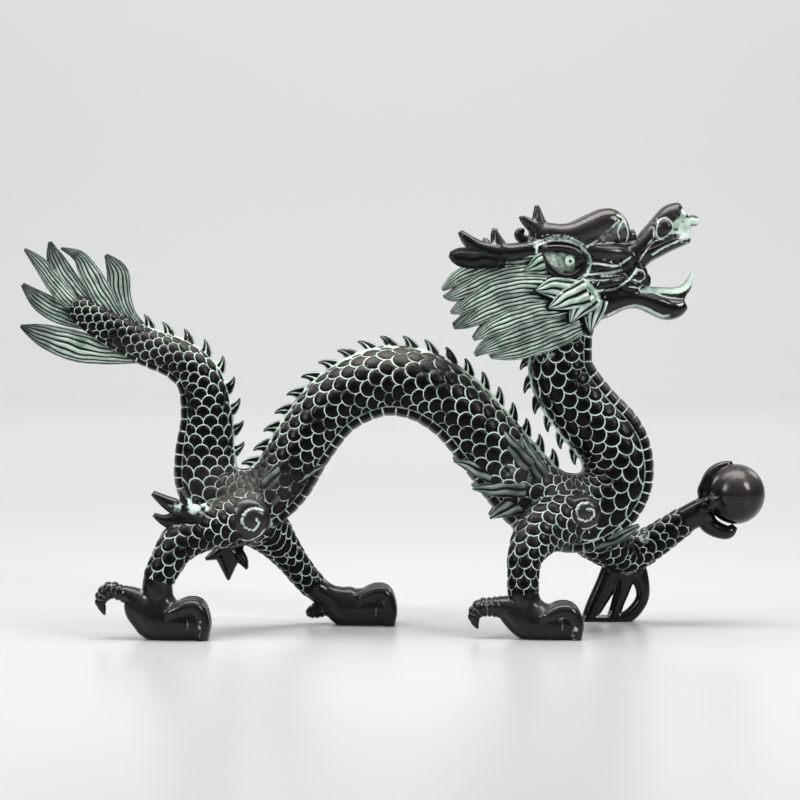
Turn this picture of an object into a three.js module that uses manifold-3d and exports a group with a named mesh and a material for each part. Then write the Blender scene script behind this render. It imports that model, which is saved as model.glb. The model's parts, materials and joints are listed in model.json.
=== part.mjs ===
// Cast dragon, one closed solid: millimetres, Z up, head towards +X, soles on the ground at z = 0.
// Every form is a smooth run of cross-sections (a sweep); the sweeps are joined into a single casting.

import * as THREE from 'three';
import Module from 'manifold-3d';

const wasm = await Module();
wasm.setup();

// ---- overall size ------------------------------------------------------------------------------------
const LENGTH = 350;
const WIDTH = 80;
const HEIGHT = 200;

// ---- body: stations from the tail tip to the back of the head: x, z, radius --------------------------
const SPINE = [
  [-154, 151.5, 2.6], [-147, 146.2, 6.3], [-132, 137, 7.7], [-117, 129.8, 8.2], [-103, 124.2, 8.9],
  [-93, 114.8, 10.2],
  [-89.6, 98, 11.6], [-90.5, 80, 13.5], [-89, 67.5, 14.3], [-79, 60, 14.1], [-65, 60.5, 13.9],
  [-54, 69.5, 13.6],
  [-43.5, 86.5, 13.6], [-29, 104.2, 14.1], [-8, 114, 15], [12, 111.8, 15.3], [29, 101, 15],
  [43, 85.3, 15.5],
  [57, 68.4, 16.3], [70, 57, 16.8], [84, 53.7, 17.2], [96.5, 58.8, 16.4], [103.6, 70.5, 15.9],
  [101, 86, 15.8],
  [88, 101.2, 15.1], [77.6, 117, 14.6], [77.4, 133, 13.3], [81, 146, 12],
];
const BODY_SQUEEZE = 0.96;

// ---- ridge and spikes --------------------------------------------------------------------------------
const RIDGE_RISE = 0.09;
const SPIKE_PITCH = 9.6;
const SPIKE_HIGH = 5.4;
const SPIKE_LONG = 7.6;
const SPIKE_THICK = 2.8;
const SPIKE_LEAN = 5.2;

// ---- paws --------------------------------------------------------------------------------------------
const PAW_WIDE = 19;
const TOE_COUNT = 3;
const TOE_RADIUS = 3.6;

// ---- pearl -------------------------------------------------------------------------------------------
const PEARL_RADIUS = 14;
const PEARL = [161.5, 21, 60.8];

// ---- colours -----------------------------------------------------------------------------------------
const BRONZE = { color: 0x2c2e2d, roughness: 0.42, metalness: 0.85 };

const ACROSS = new THREE.Vector3(0, 1, 0);

// Joins a closed list of triangles into a solid that always faces outwards.
function solidFrom(points, faces) {
  let volume = 0;
  for (const [a, b, c] of faces) {
    volume += points[a].dot(new THREE.Vector3().crossVectors(points[b], points[c]));
  }
  const turned = volume < 0;
  const coords = new Float32Array(points.length * 3);
  points.forEach((p, i) => p.toArray(coords, i * 3));
  const order = new Uint32Array(faces.length * 3);
  faces.forEach(([a, b, c], i) => order.set(turned ? [a, c, b] : [a, b, c], i * 3));
  return new wasm.Manifold(new wasm.Mesh({ numProp: 3, vertProperties: coords, triVerts: order }));
}

// Skins equal rings of points one after another and closes both ends.
function skin(rings) {
  const count = rings[0].length;
  const points = rings.flat();
  const faces = [];
  for (let r = 0; r + 1 < rings.length; r++) {
    for (let k = 0; k < count; k++) {
      const a = r * count + k;
      const b = r * count + ((k + 1) % count);
      faces.push([a, b, b + count]);
      faces.push([a, b + count, a + count]);
    }
  }
  const end = (rings.length - 1) * count;
  for (let k = 1; k + 1 < count; k++) {
    faces.push([0, k + 1, k]);
    faces.push([end, end + k, end + k + 1]);
  }
  return solidFrom(points, faces);
}

// Catmull-Rom between four numbers.
function blend(a, b, c, d, t) {
  const slope0 = (c - a) / 2;
  const slope1 = (d - b) / 2;
  const t2 = t * t;
  const t3 = t2 * t;
  return (2 * t3 - 3 * t2 + 1) * b + (t3 - 2 * t2 + t) * slope0 + (3 * t2 - 2 * t3) * c + (t3 - t2) * slope1;
}

// Finer stations between the named ones; every column is smoothed alike.
function smooth(stations, steps) {
  const last = stations.length - 1;
  const out = [];
  for (let i = 0; i < last; i++) {
    const a = stations[Math.max(i - 1, 0)];
    const d = stations[Math.min(i + 2, last)];
    for (let j = 0; j < steps; j++) {
      out.push(stations[i].map((b, k) => blend(a[k], b, stations[i + 1][k], d[k], j / steps)));
    }
  }
  out.push(stations[last]);
  return out;
}

// Local directions at each station: along the run, across it and up from it.
function frames(stations, across) {
  return stations.map((row, i) => {
    const before = stations[Math.max(i - 1, 0)];
    const after = stations[Math.min(i + 1, stations.length - 1)];
    const along = new THREE.Vector3(after[0] - before[0], after[1] - before[1],
      after[2] - before[2]).normalize();
    const side = across.clone().addScaledVector(along, -across.dot(along)).normalize();
    const up = new THREE.Vector3().crossVectors(along, side);
    return { at: new THREE.Vector3(row[0], row[1], row[2]), along, side, up, wide: row[3], deep: row[4] };
  });
}

// A signed power: keeps the direction of a sine or cosine and fills out its curve.
function rounded(value, full) {
  return Math.sign(value) * Math.abs(value) ** full;
}

// A sweep: stations are x, y, z, half width across, half depth. A fullness under 1 squares the section's
// corners.
function sweep(stations, { sides = 8, steps = 1, across = ACROSS, full = 1 } = {}) {
  const rings = frames(smooth(stations, steps), across).map((f) => {
    const ring = [];
    for (let k = 0; k < sides; k++) {
      const angle = (k / sides) * 2 * Math.PI;
      ring.push(f.at.clone()
        .addScaledVector(f.side, f.wide * rounded(Math.cos(angle), full))
        .addScaledVector(f.up, f.deep * rounded(Math.sin(angle), full)));
    }
    return ring;
  });
  return skin(rings);
}

// A round sweep: stations are x, y, z, radius.
function limb(stations, options) {
  return sweep(stations.map(([x, y, z, r]) => [x, y, z, r, r]), options);
}

// A flat leaf standing in the side view: stations are x, z, half height; it lies at depth y.
function leaf(stations, y, thick, { drift = 0, ...options } = {}) {
  const last = stations.length - 1;
  const rows = stations.map(([x, z, h], i) => {
    const swell = 0.55 + 0.45 * Math.sin((Math.PI * (i + 0.5)) / (last + 1));
    return [x, y + (drift * i) / last, z, (thick / 2) * swell, h];
  });
  return sweep(rows, { sides: 4, ...options });
}

// An egg-shaped boss with three half sizes.
function boss(centre, half, around = 8, rows = 3) {
  const rings = [];
  for (let r = 0; r <= rows; r++) {
    const lift = -Math.cos((Math.PI * (r + 0.35)) / (rows + 0.7));
    const reach = Math.sqrt(1 - lift * lift);
    const ring = [];
    for (let k = 0; k < around; k++) {
      const angle = (k / around) * 2 * Math.PI;
      ring.push(new THREE.Vector3(
        centre[0] + half[0] * reach * Math.cos(angle),
        centre[1] + half[1] * lift,
        centre[2] + half[2] * reach * Math.sin(angle),
      ));
    }
    rings.push(ring);
  }
  return skin(rings);
}

const pieces = [];
const put = (...solids) => pieces.push(...solids);

// ---- body --------------------------------------------------------------------------------------------
// The section carries a thin ridge along the back and a stepped, plated band along the belly.
const SECTION = [[0.16, 0.985], [0.66, 0.76], [0.99, 0.14], [0.86, -0.5], [0.56, -0.83], [0.47, -1.0]];
const RING = [[0, 1 + RIDGE_RISE], ...SECTION, ...SECTION.map(([s, u]) => [-s, u]).reverse()];
const spine = frames(smooth(SPINE.map(([x, z, r]) => [x, 0, z, r * BODY_SQUEEZE, r]), 2), ACROSS);
put(skin(spine.map((f) => RING.map(([s, u]) => f.at.clone()
  .addScaledVector(f.side, s * f.wide)
  .addScaledVector(f.up, u * f.deep)))));

// A point on the back at a distance along the body, measured on the ridge.
function onBack(distance, from, to) {
  let left = distance;
  for (let i = from; i + 1 < to; i++) {
    const a = spine[i].at.clone().addScaledVector(spine[i].up, spine[i].deep);
    const b = spine[i + 1].at.clone().addScaledVector(spine[i + 1].up, spine[i + 1].deep);
    const step = a.distanceTo(b);
    if (left <= step) {
      const up = spine[i].up.clone().lerp(spine[i + 1].up, left / step).normalize();
      return { at: a.lerp(b, left / step), up, back: new THREE.Vector3(-up.z, 0, up.x).negate() };
    }
    left -= step;
  }
  return null;
}

// Leaf-shaped spikes stand on the ridge and lean towards the tail.
function spikes(from, to, size) {
  for (let d = SPIKE_PITCH / 2; ; d += SPIKE_PITCH) {
    const spot = onBack(d, from, to);
    if (!spot) return;
    const lean = new THREE.Vector3(-spot.up.z, 0, spot.up.x).multiplyScalar(-1);
    const rows = [[-0.5, -0.1, 1, 1], [1, 0.8, 0.25, 0.25]].map(([high, slide, w, l]) => {
      const p = spot.at.clone()
        .addScaledVector(spot.up, high * SPIKE_HIGH * size)
        .addScaledVector(lean, -slide * SPIKE_LEAN * size);
      return [p.x, p.y, p.z, (w * SPIKE_THICK) / 2, (l * SPIKE_LONG * size) / 2];
    });
    put(sweep(rows, { sides: 3 }));
  }
}
spikes(6, 15, 0.9);
spikes(20, 40, 1);
spikes(46, 51, 0.9);

// ---- tail fin: six feathered lobes fanning from the tail tip -----------------------------------------
const LOBES = [
  { y: -1.2, rows: [[-120, 124.6, 2], [-136, 127, 5], [-151, 130.5, 7], [-166, 135.3, 5.2],
    [-176.6, 139.6, 1]] },
  { y: 1.4, rows: [[-147, 141, 3], [-158, 145.5, 5], [-168, 151, 4.4], [-176, 158.5, 1.3]] },
  { y: -1.4, rows: [[-150, 148, 3], [-158, 156, 3.8], [-167, 167.5, 3], [-174.5, 174.6, 0.8]] },
  { y: 0.8, rows: [[-146, 149, 4], [-154, 159, 5.2], [-160.5, 170, 4], [-163, 178, 1]] },
  { y: -0.8, rows: [[-130, 140, 3], [-138, 152.5, 5.4], [-145, 165, 4.4], [-149.5, 171.5, 2.6],
    [-157.5, 175, 0.7]] },
  { y: 1.2, rows: [[-118, 136.6, 1.6], [-126, 144, 2.8], [-130, 154, 4.6], [-131.5, 164, 5],
    [-136.8, 172, 1.1]] },
];
for (const { y, rows } of LOBES) {
  put(leaf(rows, y, 5));
}

// ---- paws: a heavy pad, three toes turned down at the front and a ringed dew claw behind -------------
function paw(heel, y, lift, claw) {
  const half = PAW_WIDE / 2;
  const pad = [
    [-12, 9.2, 18, half - 4.5], [-6, 3.4, 18.2, half - 2.5], [2, -1.2, 16.6, half - 1],
    [11, -1.6, 15, half],
    [19, -1.6, 14, half - 0.6], [21.5, 0, 12, half - 2],
  ].map(([x, under, over, wide]) => [heel + x, y, (under + over + lift) / 2, wide,
    (over + lift - under) / 2]);
  put(sweep(pad, { sides: 8 }));
  for (let i = 0; i < TOE_COUNT; i++) {
    const toeY = y + (half - TOE_RADIUS) * ((2 * i) / (TOE_COUNT - 1) - 1);
    put(limb([
      [heel + 12, toeY, 11.8 + lift, TOE_RADIUS], [heel + 18.6, toeY, 11.4 + lift, TOE_RADIUS],
      [heel + 21.3, toeY, 7, TOE_RADIUS - 0.4], [heel + 20.6, toeY, -0.8, TOE_RADIUS - 1.2],
    ], { sides: 4 }));
  }
  const ringed = claw.map(([x, z, r], i) => [heel + x, y, z, r + (i % 2) * 0.4]);
  put(limb(ringed, { sides: 5 }));
}
const NEAR_CLAW = [[-8, 15, 5.2], [-16, 15.8, 3.9], [-22, 15.6, 3.8], [-25.8, 12, 2.8], [-24.6, 6.4, 0.8]];
const HIND_CLAW = NEAR_CLAW.map(([x, z, r]) => [x - 0.8, z + 6.8, r]);
const FAR_CLAW = [[-7, 9.6, 4.2], [-12, 7.2, 3.6], [-16, 5.8, 3], [-18.8, 5.2, 1.6]];
paw(-110.5, -30, 2.4, HIND_CLAW);
paw(61.5, -28, 0.4, NEAR_CLAW);
paw(-24.5, 21, 2.6, FAR_CLAW);

// ---- legs --------------------------------------------------------------------------------------------
put(sweep([
  [-64, -8, 54, 9, 12.5], [-77, -14, 51.5, 9, 11.5], [-91, -21, 48.5, 8.6, 10], [-101, -26, 42.5, 8, 8.8],
  [-106, -29, 35, 7.4, 7.6], [-110.5, -30, 25.5, 7, 7], [-110, -30, 16, 7.4, 7.6],
], { sides: 7 }));
put(sweep([
  [-64, 8, 48, 10, 12.4], [-57, 13, 39.5, 8, 9], [-50.5, 17, 30.8, 6.8, 7], [-43, 20, 21, 6.2, 6.2],
  [-35, 21, 14, 6.2, 6],
  [-26, 21, 10.5, 7, 6.6],
], { sides: 7 }));
put(sweep([
  [88, -8, 55, 9, 12], [77, -13, 52.5, 9.4, 12.6], [66, -19, 47, 8.8, 11.3], [59.5, -24.5, 37.5, 7.8, 8.2],
  [58.2, -27, 28, 7, 7], [58.4, -28, 19, 7.2, 7.2], [61, -28, 11, 7.6, 8],
], { sides: 7 }));
put(sweep([
  [86, 8, 50, 9, 12.4], [94, 14, 42, 9, 11.2], [104, 22, 34.5, 8.6, 9.2], [112, 26, 32.4, 8.2, 8.6],
  [121, 26, 37, 7.4, 7.8],
  [131.5, 24, 44.2, 6.6, 6.8], [140, 22, 50, 6.2, 6.2], [148.5, 21, 54, 6.6, 6.6],
], { sides: 7 }));

// Raised ovals on the four joints.
const OVALS = [
  { at: [-68, -15.6, 53.6], half: [10.4, 5.6, 9.4] }, { at: [-66, 15, 52], half: [10.4, 5.6, 9.4] },
  { at: [86, -16.4, 56.6], half: [8, 5.6, 8] }, { at: [86, 16.4, 55.4], half: [8, 5.6, 8] },
];
for (const { at, half } of OVALS) {
  put(boss(at, half));
}

// ---- pearl and the claw that holds it ----------------------------------------------------------------
put(boss(PEARL, [PEARL_RADIUS, PEARL_RADIUS, PEARL_RADIUS], 12, 7));
function finger(turnAngle, reach, tipRadius) {
  const rows = [];
  const joints = 3;
  for (let i = 0; i <= joints; i++) {
    const swing = Math.PI * (0.92 - reach * (i / joints));
    const out = PEARL_RADIUS + 0.6;
    const along = Math.cos(swing) * out;
    const off = Math.sin(swing) * out;
    const knuckle = 3.3 + (i % 2 ? 0.7 : 0) - (i === joints ? 3.3 - tipRadius : 0);
    rows.push([
      PEARL[0] + along * 0.94 - off * 0.32 * Math.sin(turnAngle),
      PEARL[1] - off * Math.cos(turnAngle),
      PEARL[2] + along * 0.34 + off * 0.94 * Math.sin(turnAngle),
      knuckle,
    ]);
  }
  const across = new THREE.Vector3(0.2, Math.sin(turnAngle), Math.cos(turnAngle));
  put(limb(rows, { sides: 5, across }));
}
finger(Math.PI / 2, 0.52, 1.1);
finger(0.15, 0.42, 1);
finger(-Math.PI / 2, 0.42, 1.1);
finger(Math.PI - 0.15, 0.42, 1);

// ---- tufts at the joints -----------------------------------------------------------------------------
function tuft(y, thick, strands) {
  for (const rows of strands) {
    put(leaf(rows, y, thick));
  }
}
tuft(-27, 7, [
  [[-92, 55.5, 5], [-100, 58, 4.4], [-107, 61.5, 3.2], [-113, 65.5, 1.4]],
  [[-96, 53, 5], [-104, 52.8, 4], [-108.5, 53.5, 2.4], [-112.6, 55.6, 1.1]],
  [[-95, 56, 3.4], [-98, 62, 2.6], [-100, 67, 0.9]],
]);
tuft(12, 8, [
  [[-80, 43, 8], [-80.5, 34, 6.8], [-80.5, 27.5, 3.6], [-80.3, 22, 0.9]],
  [[-78, 38, 4], [-85, 34.4, 3.2], [-91, 31.6, 1]],
  [[-78, 36, 4], [-73.5, 31, 2.6], [-71.5, 27, 0.8]],
]);
tuft(32, 7, [
  [[107, 28, 5], [100.5, 17, 4.1], [95, 8, 3.6], [91, -0.6, 3]],
  [[110.5, 28, 4.4], [109, 16, 3], [106, 8, 2.6], [103.6, -0.6, 3]],
  [[112.5, 28, 6], [118, 19, 3], [118, 10.5, 2.6], [112, 3, 2.6], [107, 0.5, 2.2]],
  [[88.6, 0.6, 1.2], [95, 0.8, 2], [104, 0.8, 2], [113, 1.8, 2]],
]);
put(leaf([[92, 41, 3.4], [103, 44, 3.6], [113, 48, 1.4]], -7, 7, { drift: -2 }));

// Flames lie along the flanks behind each shoulder and hip.
const FLAMES = [
  { from: 13.5, rows: [[60, 69, 4.4], [44, 73.5, 5], [26.5, 78.6, 0.9]] },
  { from: 14, rows: [[64, 60, 4.6], [53, 58, 4.6], [43.6, 52.6, 0.9]] },
  { from: 11.5, rows: [[-58, 63, 4], [-47, 71, 4], [-34.6, 76.6, 0.8]] },
];
for (const side of [-1, 1]) {
  for (const { from, rows } of FLAMES) {
    put(leaf(rows, side * from, 4.6, { drift: -side * 6 }));
  }
}

// ---- head --------------------------------------------------------------------------------------------
put(sweep([
  [68, 0, 156, 11, 14], [75, 0, 161.5, 14.6, 17.5], [86, 0, 163.5, 15.2, 16.5], [97, 0, 167, 12.6, 12.4],
  [107, 0, 170, 10, 8.6],
  [114, 0, 173.5, 9, 6.6], [121, 0, 181.5, 8.4, 6], [128, 0, 188.4, 7.6, 6.6], [133, 0, 191.4, 5, 4.6],
], { sides: 10, full: 0.75 }));
put(sweep([
  [110, 0, 169, 8.6, 4.4], [118, 0, 172.4, 8.4, 3.6], [127, 0, 176, 7.6, 2.6], [137, 0, 178.4, 4.4, 0.8],
], { sides: 6 }));
put(sweep([
  [84, 0, 150, 13, 9.5], [95, 0, 150.6, 12.6, 8], [106, 0, 152.6, 11, 5.6], [116, 0, 152, 9.4, 4.8],
  [125, 0, 148.6, 8, 5],
  [131, 0, 147.2, 6, 3.6], [136, 0, 149.6, 3.6, 0.9],
], { sides: 8 }));
put(sweep([
  [112, 0, 155.5, 6, 2.4], [123, 0, 154.6, 5.4, 2.6], [131, 0, 154, 4.6, 2.8], [136.4, 0, 158, 3, 1.9],
  [138.8, 0, 165.4, 0.9, 0.5],
], { sides: 6 }));
put(sweep([
  [126, 0, 184, 4, 4], [133, 0, 186, 3, 2.4], [138, 0, 187, 3.4, 3], [141.4, 0, 185.4, 1.6, 1.2],
], { sides: 7 }));

for (const side of [-1, 1]) {
  const half = (rows, options) => put(limb(rows.map(([x, y, z, r]) => [x, side * y, z, r]), options));
  // brow: a heavy horn-like roll over the eye, with two prongs behind and a bulb in front
  half([
    [65, 10, 181, 4.8], [83, 11.8, 180.8, 5.6], [91.5, 11, 184.6, 6], [98.8, 9.6, 187.6, 5.4],
    [104, 8, 184.6, 3.8],
    [106.6, 7, 179.6, 2],
  ], { sides: 6 });
  half([[67.4, 10, 183, 4.2], [65, 10, 195, 0.9]], { sides: 4 });
  half([[68, 11, 182, 4], [57.4, 12, 189.6, 1]], { sides: 4 });
  half([[66, 9, 178, 2.6], [56.4, 9, 182.6, 1]], { sides: 4 });
  // antler lying back over the neck
  half([[72, 10, 174.6, 4.4], [59, 14, 173.6, 4.3], [47, 16, 173, 4.4], [37, 17, 175.4, 3.6],
    [29, 17.5, 182.4, 1]], { sides: 6 });
  half([[48.6, 15.6, 174, 4.4], [45.6, 15.6, 184, 0.8]], { sides: 4 });
  half([[45, 16, 175, 2.4], [41, 16.4, 179.4, 1]], { sides: 4 });
  // ear
  put(leaf([[48, 169.4, 2.4], [38, 170.4, 4.6], [31, 170.8, 4.2], [24.4, 172, 1]], side * 19, 5));
  // eye set in a raised almond rim
  put(boss([76.4, side * 13.8, 168.8], [11, 4.6, 7], 8, 3));
  put(boss([79.6, side * 16.6, 169.8], [3.6, 2.8, 3.4], 7, 3));
  // cheek
  put(boss([85, side * 12.6, 157], [10.5, 6, 12.5], 8, 3));
  // folds of the lip
  half([[86, 13, 174, 2.6], [97, 12.4, 173.4, 3.6], [106, 9.6, 172.6, 3],
    [110, 8, 169.5, 1.6]], { sides: 5 });
  half([[89, 13.4, 157.6, 2.4], [97, 12.6, 159.8, 3], [106, 10.4, 160.2, 1.8]], { sides: 5 });
  // corner of the mouth and nostril
  put(boss([111.4, side * 7, 163], [5, 3.4, 5.4], 6, 3));
  put(boss([124.6, side * 6.6, 184], [5.4, 4, 4.8], 6, 3));
  // cheek frill: pointed leaves
  const FRILL = [
    [[78, 168.6, 3.6], [68, 166.6, 2.6], [59.4, 165, 0.7]], [[82, 164, 4.4], [73, 160, 3.2],
    [64.6, 156.4, 0.7]],
    [[86, 159, 4.6], [78, 154.4, 3.4], [71.4, 149.6, 0.7]], [[90, 154, 4.4], [84.6, 148.6, 3.2],
    [80, 142.6, 0.7]],
    [[94, 152, 4], [92.6, 146, 3], [92, 139.6, 0.7]],
  ];
  FRILL.forEach((rows, i) => put(leaf(rows, side * (18.4 - i), 4, {})));
  // mane: a full mass of hair swept back, ending in pointed locks
  put(sweep([
    [84, side * 9, 146, 8, 17], [66, side * 12, 146.8, 9, 19.6], [48, side * 11.6, 147, 8.6, 18.8],
    [37, side * 9, 147.4, 4.4, 13],
  ], { sides: 8, full: 0.8 }));
  const TIPS = [
    [[50, 161.4, 6], [33, 161.6, 4.8], [21.8, 154.4, 0.9]], [[50, 153, 6.4], [36, 151, 5],
    [25.4, 145.8, 0.8]],
    [[48, 145.6, 5], [34.4, 141.6, 0.9]], [[50, 138, 6], [36, 134, 0.9]], [[52, 131, 4.4],
    [37, 127.8, 0.9]],
  ];
  TIPS.forEach((rows, i) => put(leaf(rows, side * (14.4 - 0.6 * i), 9, { drift: -side * 3 })));
}
put(leaf([[60, 150, 12], [44, 148, 9], [34, 143.4, 4], [26, 140, 0.9]], 3, 10));

// ---- one casting, soles ground flat, scaled to the overall size --------------------------------------
const block = new THREE.BoxGeometry(2 * LENGTH, 4 * WIDTH, 60).translate(0, 0, -30).toNonIndexed();
const corners = [];
const cornerFaces = [];
for (let i = 0; i < block.attributes.position.count; i++) {
  const p = new THREE.Vector3().fromBufferAttribute(block.attributes.position, i);
  let found = corners.findIndex((c) => c.distanceTo(p) < 1e-6);
  if (found < 0) {
    found = corners.push(p) - 1;
  }
  if (i % 3 === 0) {
    cornerFaces.push([]);
  }
  cornerFaces[cornerFaces.length - 1].push(found);
}
const ground = solidFrom(corners, cornerFaces);
const casting = pieces.reduce((whole, piece) => whole.add(piece)).subtract(ground);

const shell = casting.getMesh();
const geometry = new THREE.BufferGeometry();
geometry.setAttribute('position', new THREE.BufferAttribute(Float32Array.from(shell.vertProperties), 3));
geometry.setIndex(new THREE.BufferAttribute(Uint32Array.from(shell.triVerts), 1));
geometry.computeBoundingBox();
const low = geometry.boundingBox.min;
const high = geometry.boundingBox.max;
geometry.translate(-(low.x + high.x) / 2, -(low.y + high.y) / 2, -low.z);
geometry.scale(LENGTH / (high.x - low.x), WIDTH / (high.y - low.y), HEIGHT / (high.z - low.z));
geometry.computeVertexNormals();

const dragon = new THREE.Mesh(geometry, new THREE.MeshStandardMaterial(BRONZE));
dragon.name = 'dragon';

const group = new THREE.Group();
group.name = 'dragon_sculpture';
group.add(dragon);

export default group;
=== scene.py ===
# %% [markdown]
# # A cast dragon with green patina in its hollows
# The real object is one casting with a bronze look: a scaled, arching body, four legs, a maned head and a
# pearl held out in a raised paw. It was painted near-black, flooded with pale verdigris and wiped, so the
# green stays in every groove. Here it is built the way a modeller lays wax: plain runs of cross-sections
# carry the relief, they are fused into one skin, and the paint follows the relief.

import json
import math

import bmesh
import bpy
import numpy as np
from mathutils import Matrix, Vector

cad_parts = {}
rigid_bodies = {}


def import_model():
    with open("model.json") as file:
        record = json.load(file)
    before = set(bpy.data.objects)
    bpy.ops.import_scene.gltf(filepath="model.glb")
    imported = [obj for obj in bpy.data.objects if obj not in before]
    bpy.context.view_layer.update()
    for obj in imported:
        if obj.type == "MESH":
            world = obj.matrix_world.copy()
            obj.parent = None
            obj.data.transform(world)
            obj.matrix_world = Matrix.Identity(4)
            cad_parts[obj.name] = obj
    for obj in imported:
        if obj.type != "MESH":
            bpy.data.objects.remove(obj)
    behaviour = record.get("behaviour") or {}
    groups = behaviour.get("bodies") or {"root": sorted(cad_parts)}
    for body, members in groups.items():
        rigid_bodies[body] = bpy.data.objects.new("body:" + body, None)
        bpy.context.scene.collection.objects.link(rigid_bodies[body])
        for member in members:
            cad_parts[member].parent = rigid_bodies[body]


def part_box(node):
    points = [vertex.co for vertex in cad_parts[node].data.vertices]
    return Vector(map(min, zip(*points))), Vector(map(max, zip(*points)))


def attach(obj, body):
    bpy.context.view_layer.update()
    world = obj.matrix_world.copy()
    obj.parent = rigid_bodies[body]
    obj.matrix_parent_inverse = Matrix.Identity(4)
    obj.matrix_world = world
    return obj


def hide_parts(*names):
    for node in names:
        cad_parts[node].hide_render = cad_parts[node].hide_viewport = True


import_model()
bpy.context.view_layer.update()

# %% [markdown]
# ## Finishes
# A casting has one metal but several finishes: scaled skin, belly plates, combed hair, the pale ridge,
# the smooth polished places and the eye. Each face of the mesh carries the number of its finish, and the
# fused skin later keeps those numbers as material slots.

# %% Names of the finishes
FINISHES = ["scaled_skin", "belly_plates", "combed_strands", "pale_ridge", "polished_bronze", "eye_glaze"]
SCALES, PLATES, STRANDS, RIDGE, POLISHED, EYE = range(len(FINISHES))
finish_materials = [bpy.data.materials.new(name) for name in FINISHES]
print("finishes:", FINISHES)

# %% [markdown]
# ## Runs
# Every part of the dragon is a run: a curve through a few given stations, with a width and a depth
# at each. A smooth curve through the stations (Catmull-Rom) is cut into even steps, so that a pattern
# laid along it keeps its size. All stations are in millimetres.

# %% A smooth run, cut into even steps
Y_AXIS = (0.0, 1.0, 0.0)
POINTS_PER_SPAN = 20
FEWEST_STEPS = 3


def fine_run(stations, step):
    rows = np.array(stations, float)
    last = len(rows) - 1
    t = np.linspace(0, 1, POINTS_PER_SPAN, endpoint=False)[:, None]
    pieces = []
    for i in range(last):
        a, b, c, d = rows[max(i - 1, 0)], rows[i], rows[i + 1], rows[min(i + 2, last)]
        pieces.append((2 * t**3 - 3 * t**2 + 1) * b + (t**3 - 2 * t**2 + t) * (c - a) / 2
                      + (3 * t**2 - 2 * t**3) * c + (t**3 - t**2) * (d - b) / 2)
    dense = np.vstack(pieces + [rows[-1:]])
    length = np.r_[0, np.cumsum(np.linalg.norm(np.diff(dense[:, :3], axis=0), axis=1))]
    count = max(int(round(length[-1] / step)), FEWEST_STEPS)
    at = np.linspace(0, length[-1], count + 1)
    return at, np.stack([np.interp(at, length, dense[:, k]) for k in range(dense.shape[1])], 1)


def unit(vectors):
    return vectors / np.maximum(np.linalg.norm(vectors, axis=-1, keepdims=True), 1e-9)


def directions(run, across=Y_AXIS):
    along = unit(np.gradient(run[:, :3], axis=0))
    across = np.broadcast_to(np.array(across, float), along.shape)
    side = unit(across - (across * along).sum(1, keepdims=True) * along)
    return along, side, np.cross(along, side)


def rings(run, cosine, sine, across=Y_AXIS):
    _, side, up = directions(run, across)
    return (run[:, None, :3] + side[:, None] * (run[:, 3:4] * cosine)[..., None]
            + up[:, None] * (run[:, 4:5] * sine)[..., None])


def rounded(value, full):
    return np.sign(value) * np.abs(value) ** full


def circle(cols):
    return np.linspace(0, 2 * math.pi, cols, endpoint=False)


print("a run of", len(fine_run([(0, 0, 0, 1, 1), (50, 0, 20, 1, 1)], 1.0)[0]), "steps")

# %% [markdown]
# ## Relief patterns
# Scales are discs in staggered rows: each one lies over the next towards the tail, so its free edge is
# an arc, and two neighbours meet in a short seam. The pattern gives the distance to the nearest
# engraved line, which both the wax (here) and the paint (later, in shader nodes) follow.

# %% Scales
SCALE_PITCH = 5.1
SCALE_WIDE = 7.9
SCALE_ROUND = 4.08
SCALE_SLOPE = 0.34
SCALE_DOME = 0.32
SCALE_CUT = 0.34
NO_SEAM = 9.0


def smoothstep(low, high, value):
    t = np.clip((value - low) / (high - low), 0, 1)
    return t * t * (3 - 2 * t)


def scale_relief(x, y):
    row = np.floor(x / SCALE_PITCH)
    ahead = x - (row + 1) * SCALE_PITCH
    shift = 0.5 * np.mod(row + 1, 2)
    off = (np.mod(y / SCALE_WIDE - shift + 0.5, 1) - 0.5) * SCALE_WIDE
    reach = np.hypot(ahead, off)
    seam = np.where(ahead < -SCALE_ROUND, np.abs(off), NO_SEAM)
    line = np.minimum(np.abs(reach - SCALE_ROUND), seam)
    own = np.where(reach < SCALE_ROUND, ahead + SCALE_ROUND, ahead + SCALE_ROUND + SCALE_PITCH)
    slope = 1 - own / (SCALE_ROUND + SCALE_PITCH)
    dome = smoothstep(0, 1.5, line)
    cut = 1 - smoothstep(0.1, 0.75, line)
    return SCALE_SLOPE * slope + SCALE_DOME * dome - SCALE_CUT * cut


# %% Strands and plates
STRAND_WIDE = 2.0
STRAND_SINK = 0.6
SWAY = 0.13
PLATE_PITCH = 5.4
PLATE_RISE = 0.45


def strand_relief(x, y):
    sway = SWAY * np.sin(0.24 * x + 0.5 * y) + 0.5 * SWAY * np.sin(0.57 * x + 1.0 - 0.3 * y)
    across = np.abs(2 * np.mod(y / STRAND_WIDE + sway, 1) - 1)
    return 1 - across**3


def plate_relief(x):
    across = np.abs(2 * np.mod(x / PLATE_PITCH, 1) - 1)
    return PLATE_RISE * (1 - across**4)


print("scale relief from", round(float(scale_relief(np.linspace(0, 9, 90), 0.0).min()), 2), "mm")

# %% [markdown]
# ## From rings to wax
# A form is a grid of rings skinned into a closed mesh. Two coordinate maps ride on its corners: `run`
# holds millimetres along and around for the patterns, and `lie` holds how near the tip a point is and
# how much pale paint was brushed on. Maps live on corners, so that the last column can end at a
# different number than the first begins with and no pattern is torn where a ring closes.

# %% Make one wax form
GROUPS = ["small", "body", "leg", "paw"]
forms = []


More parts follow.
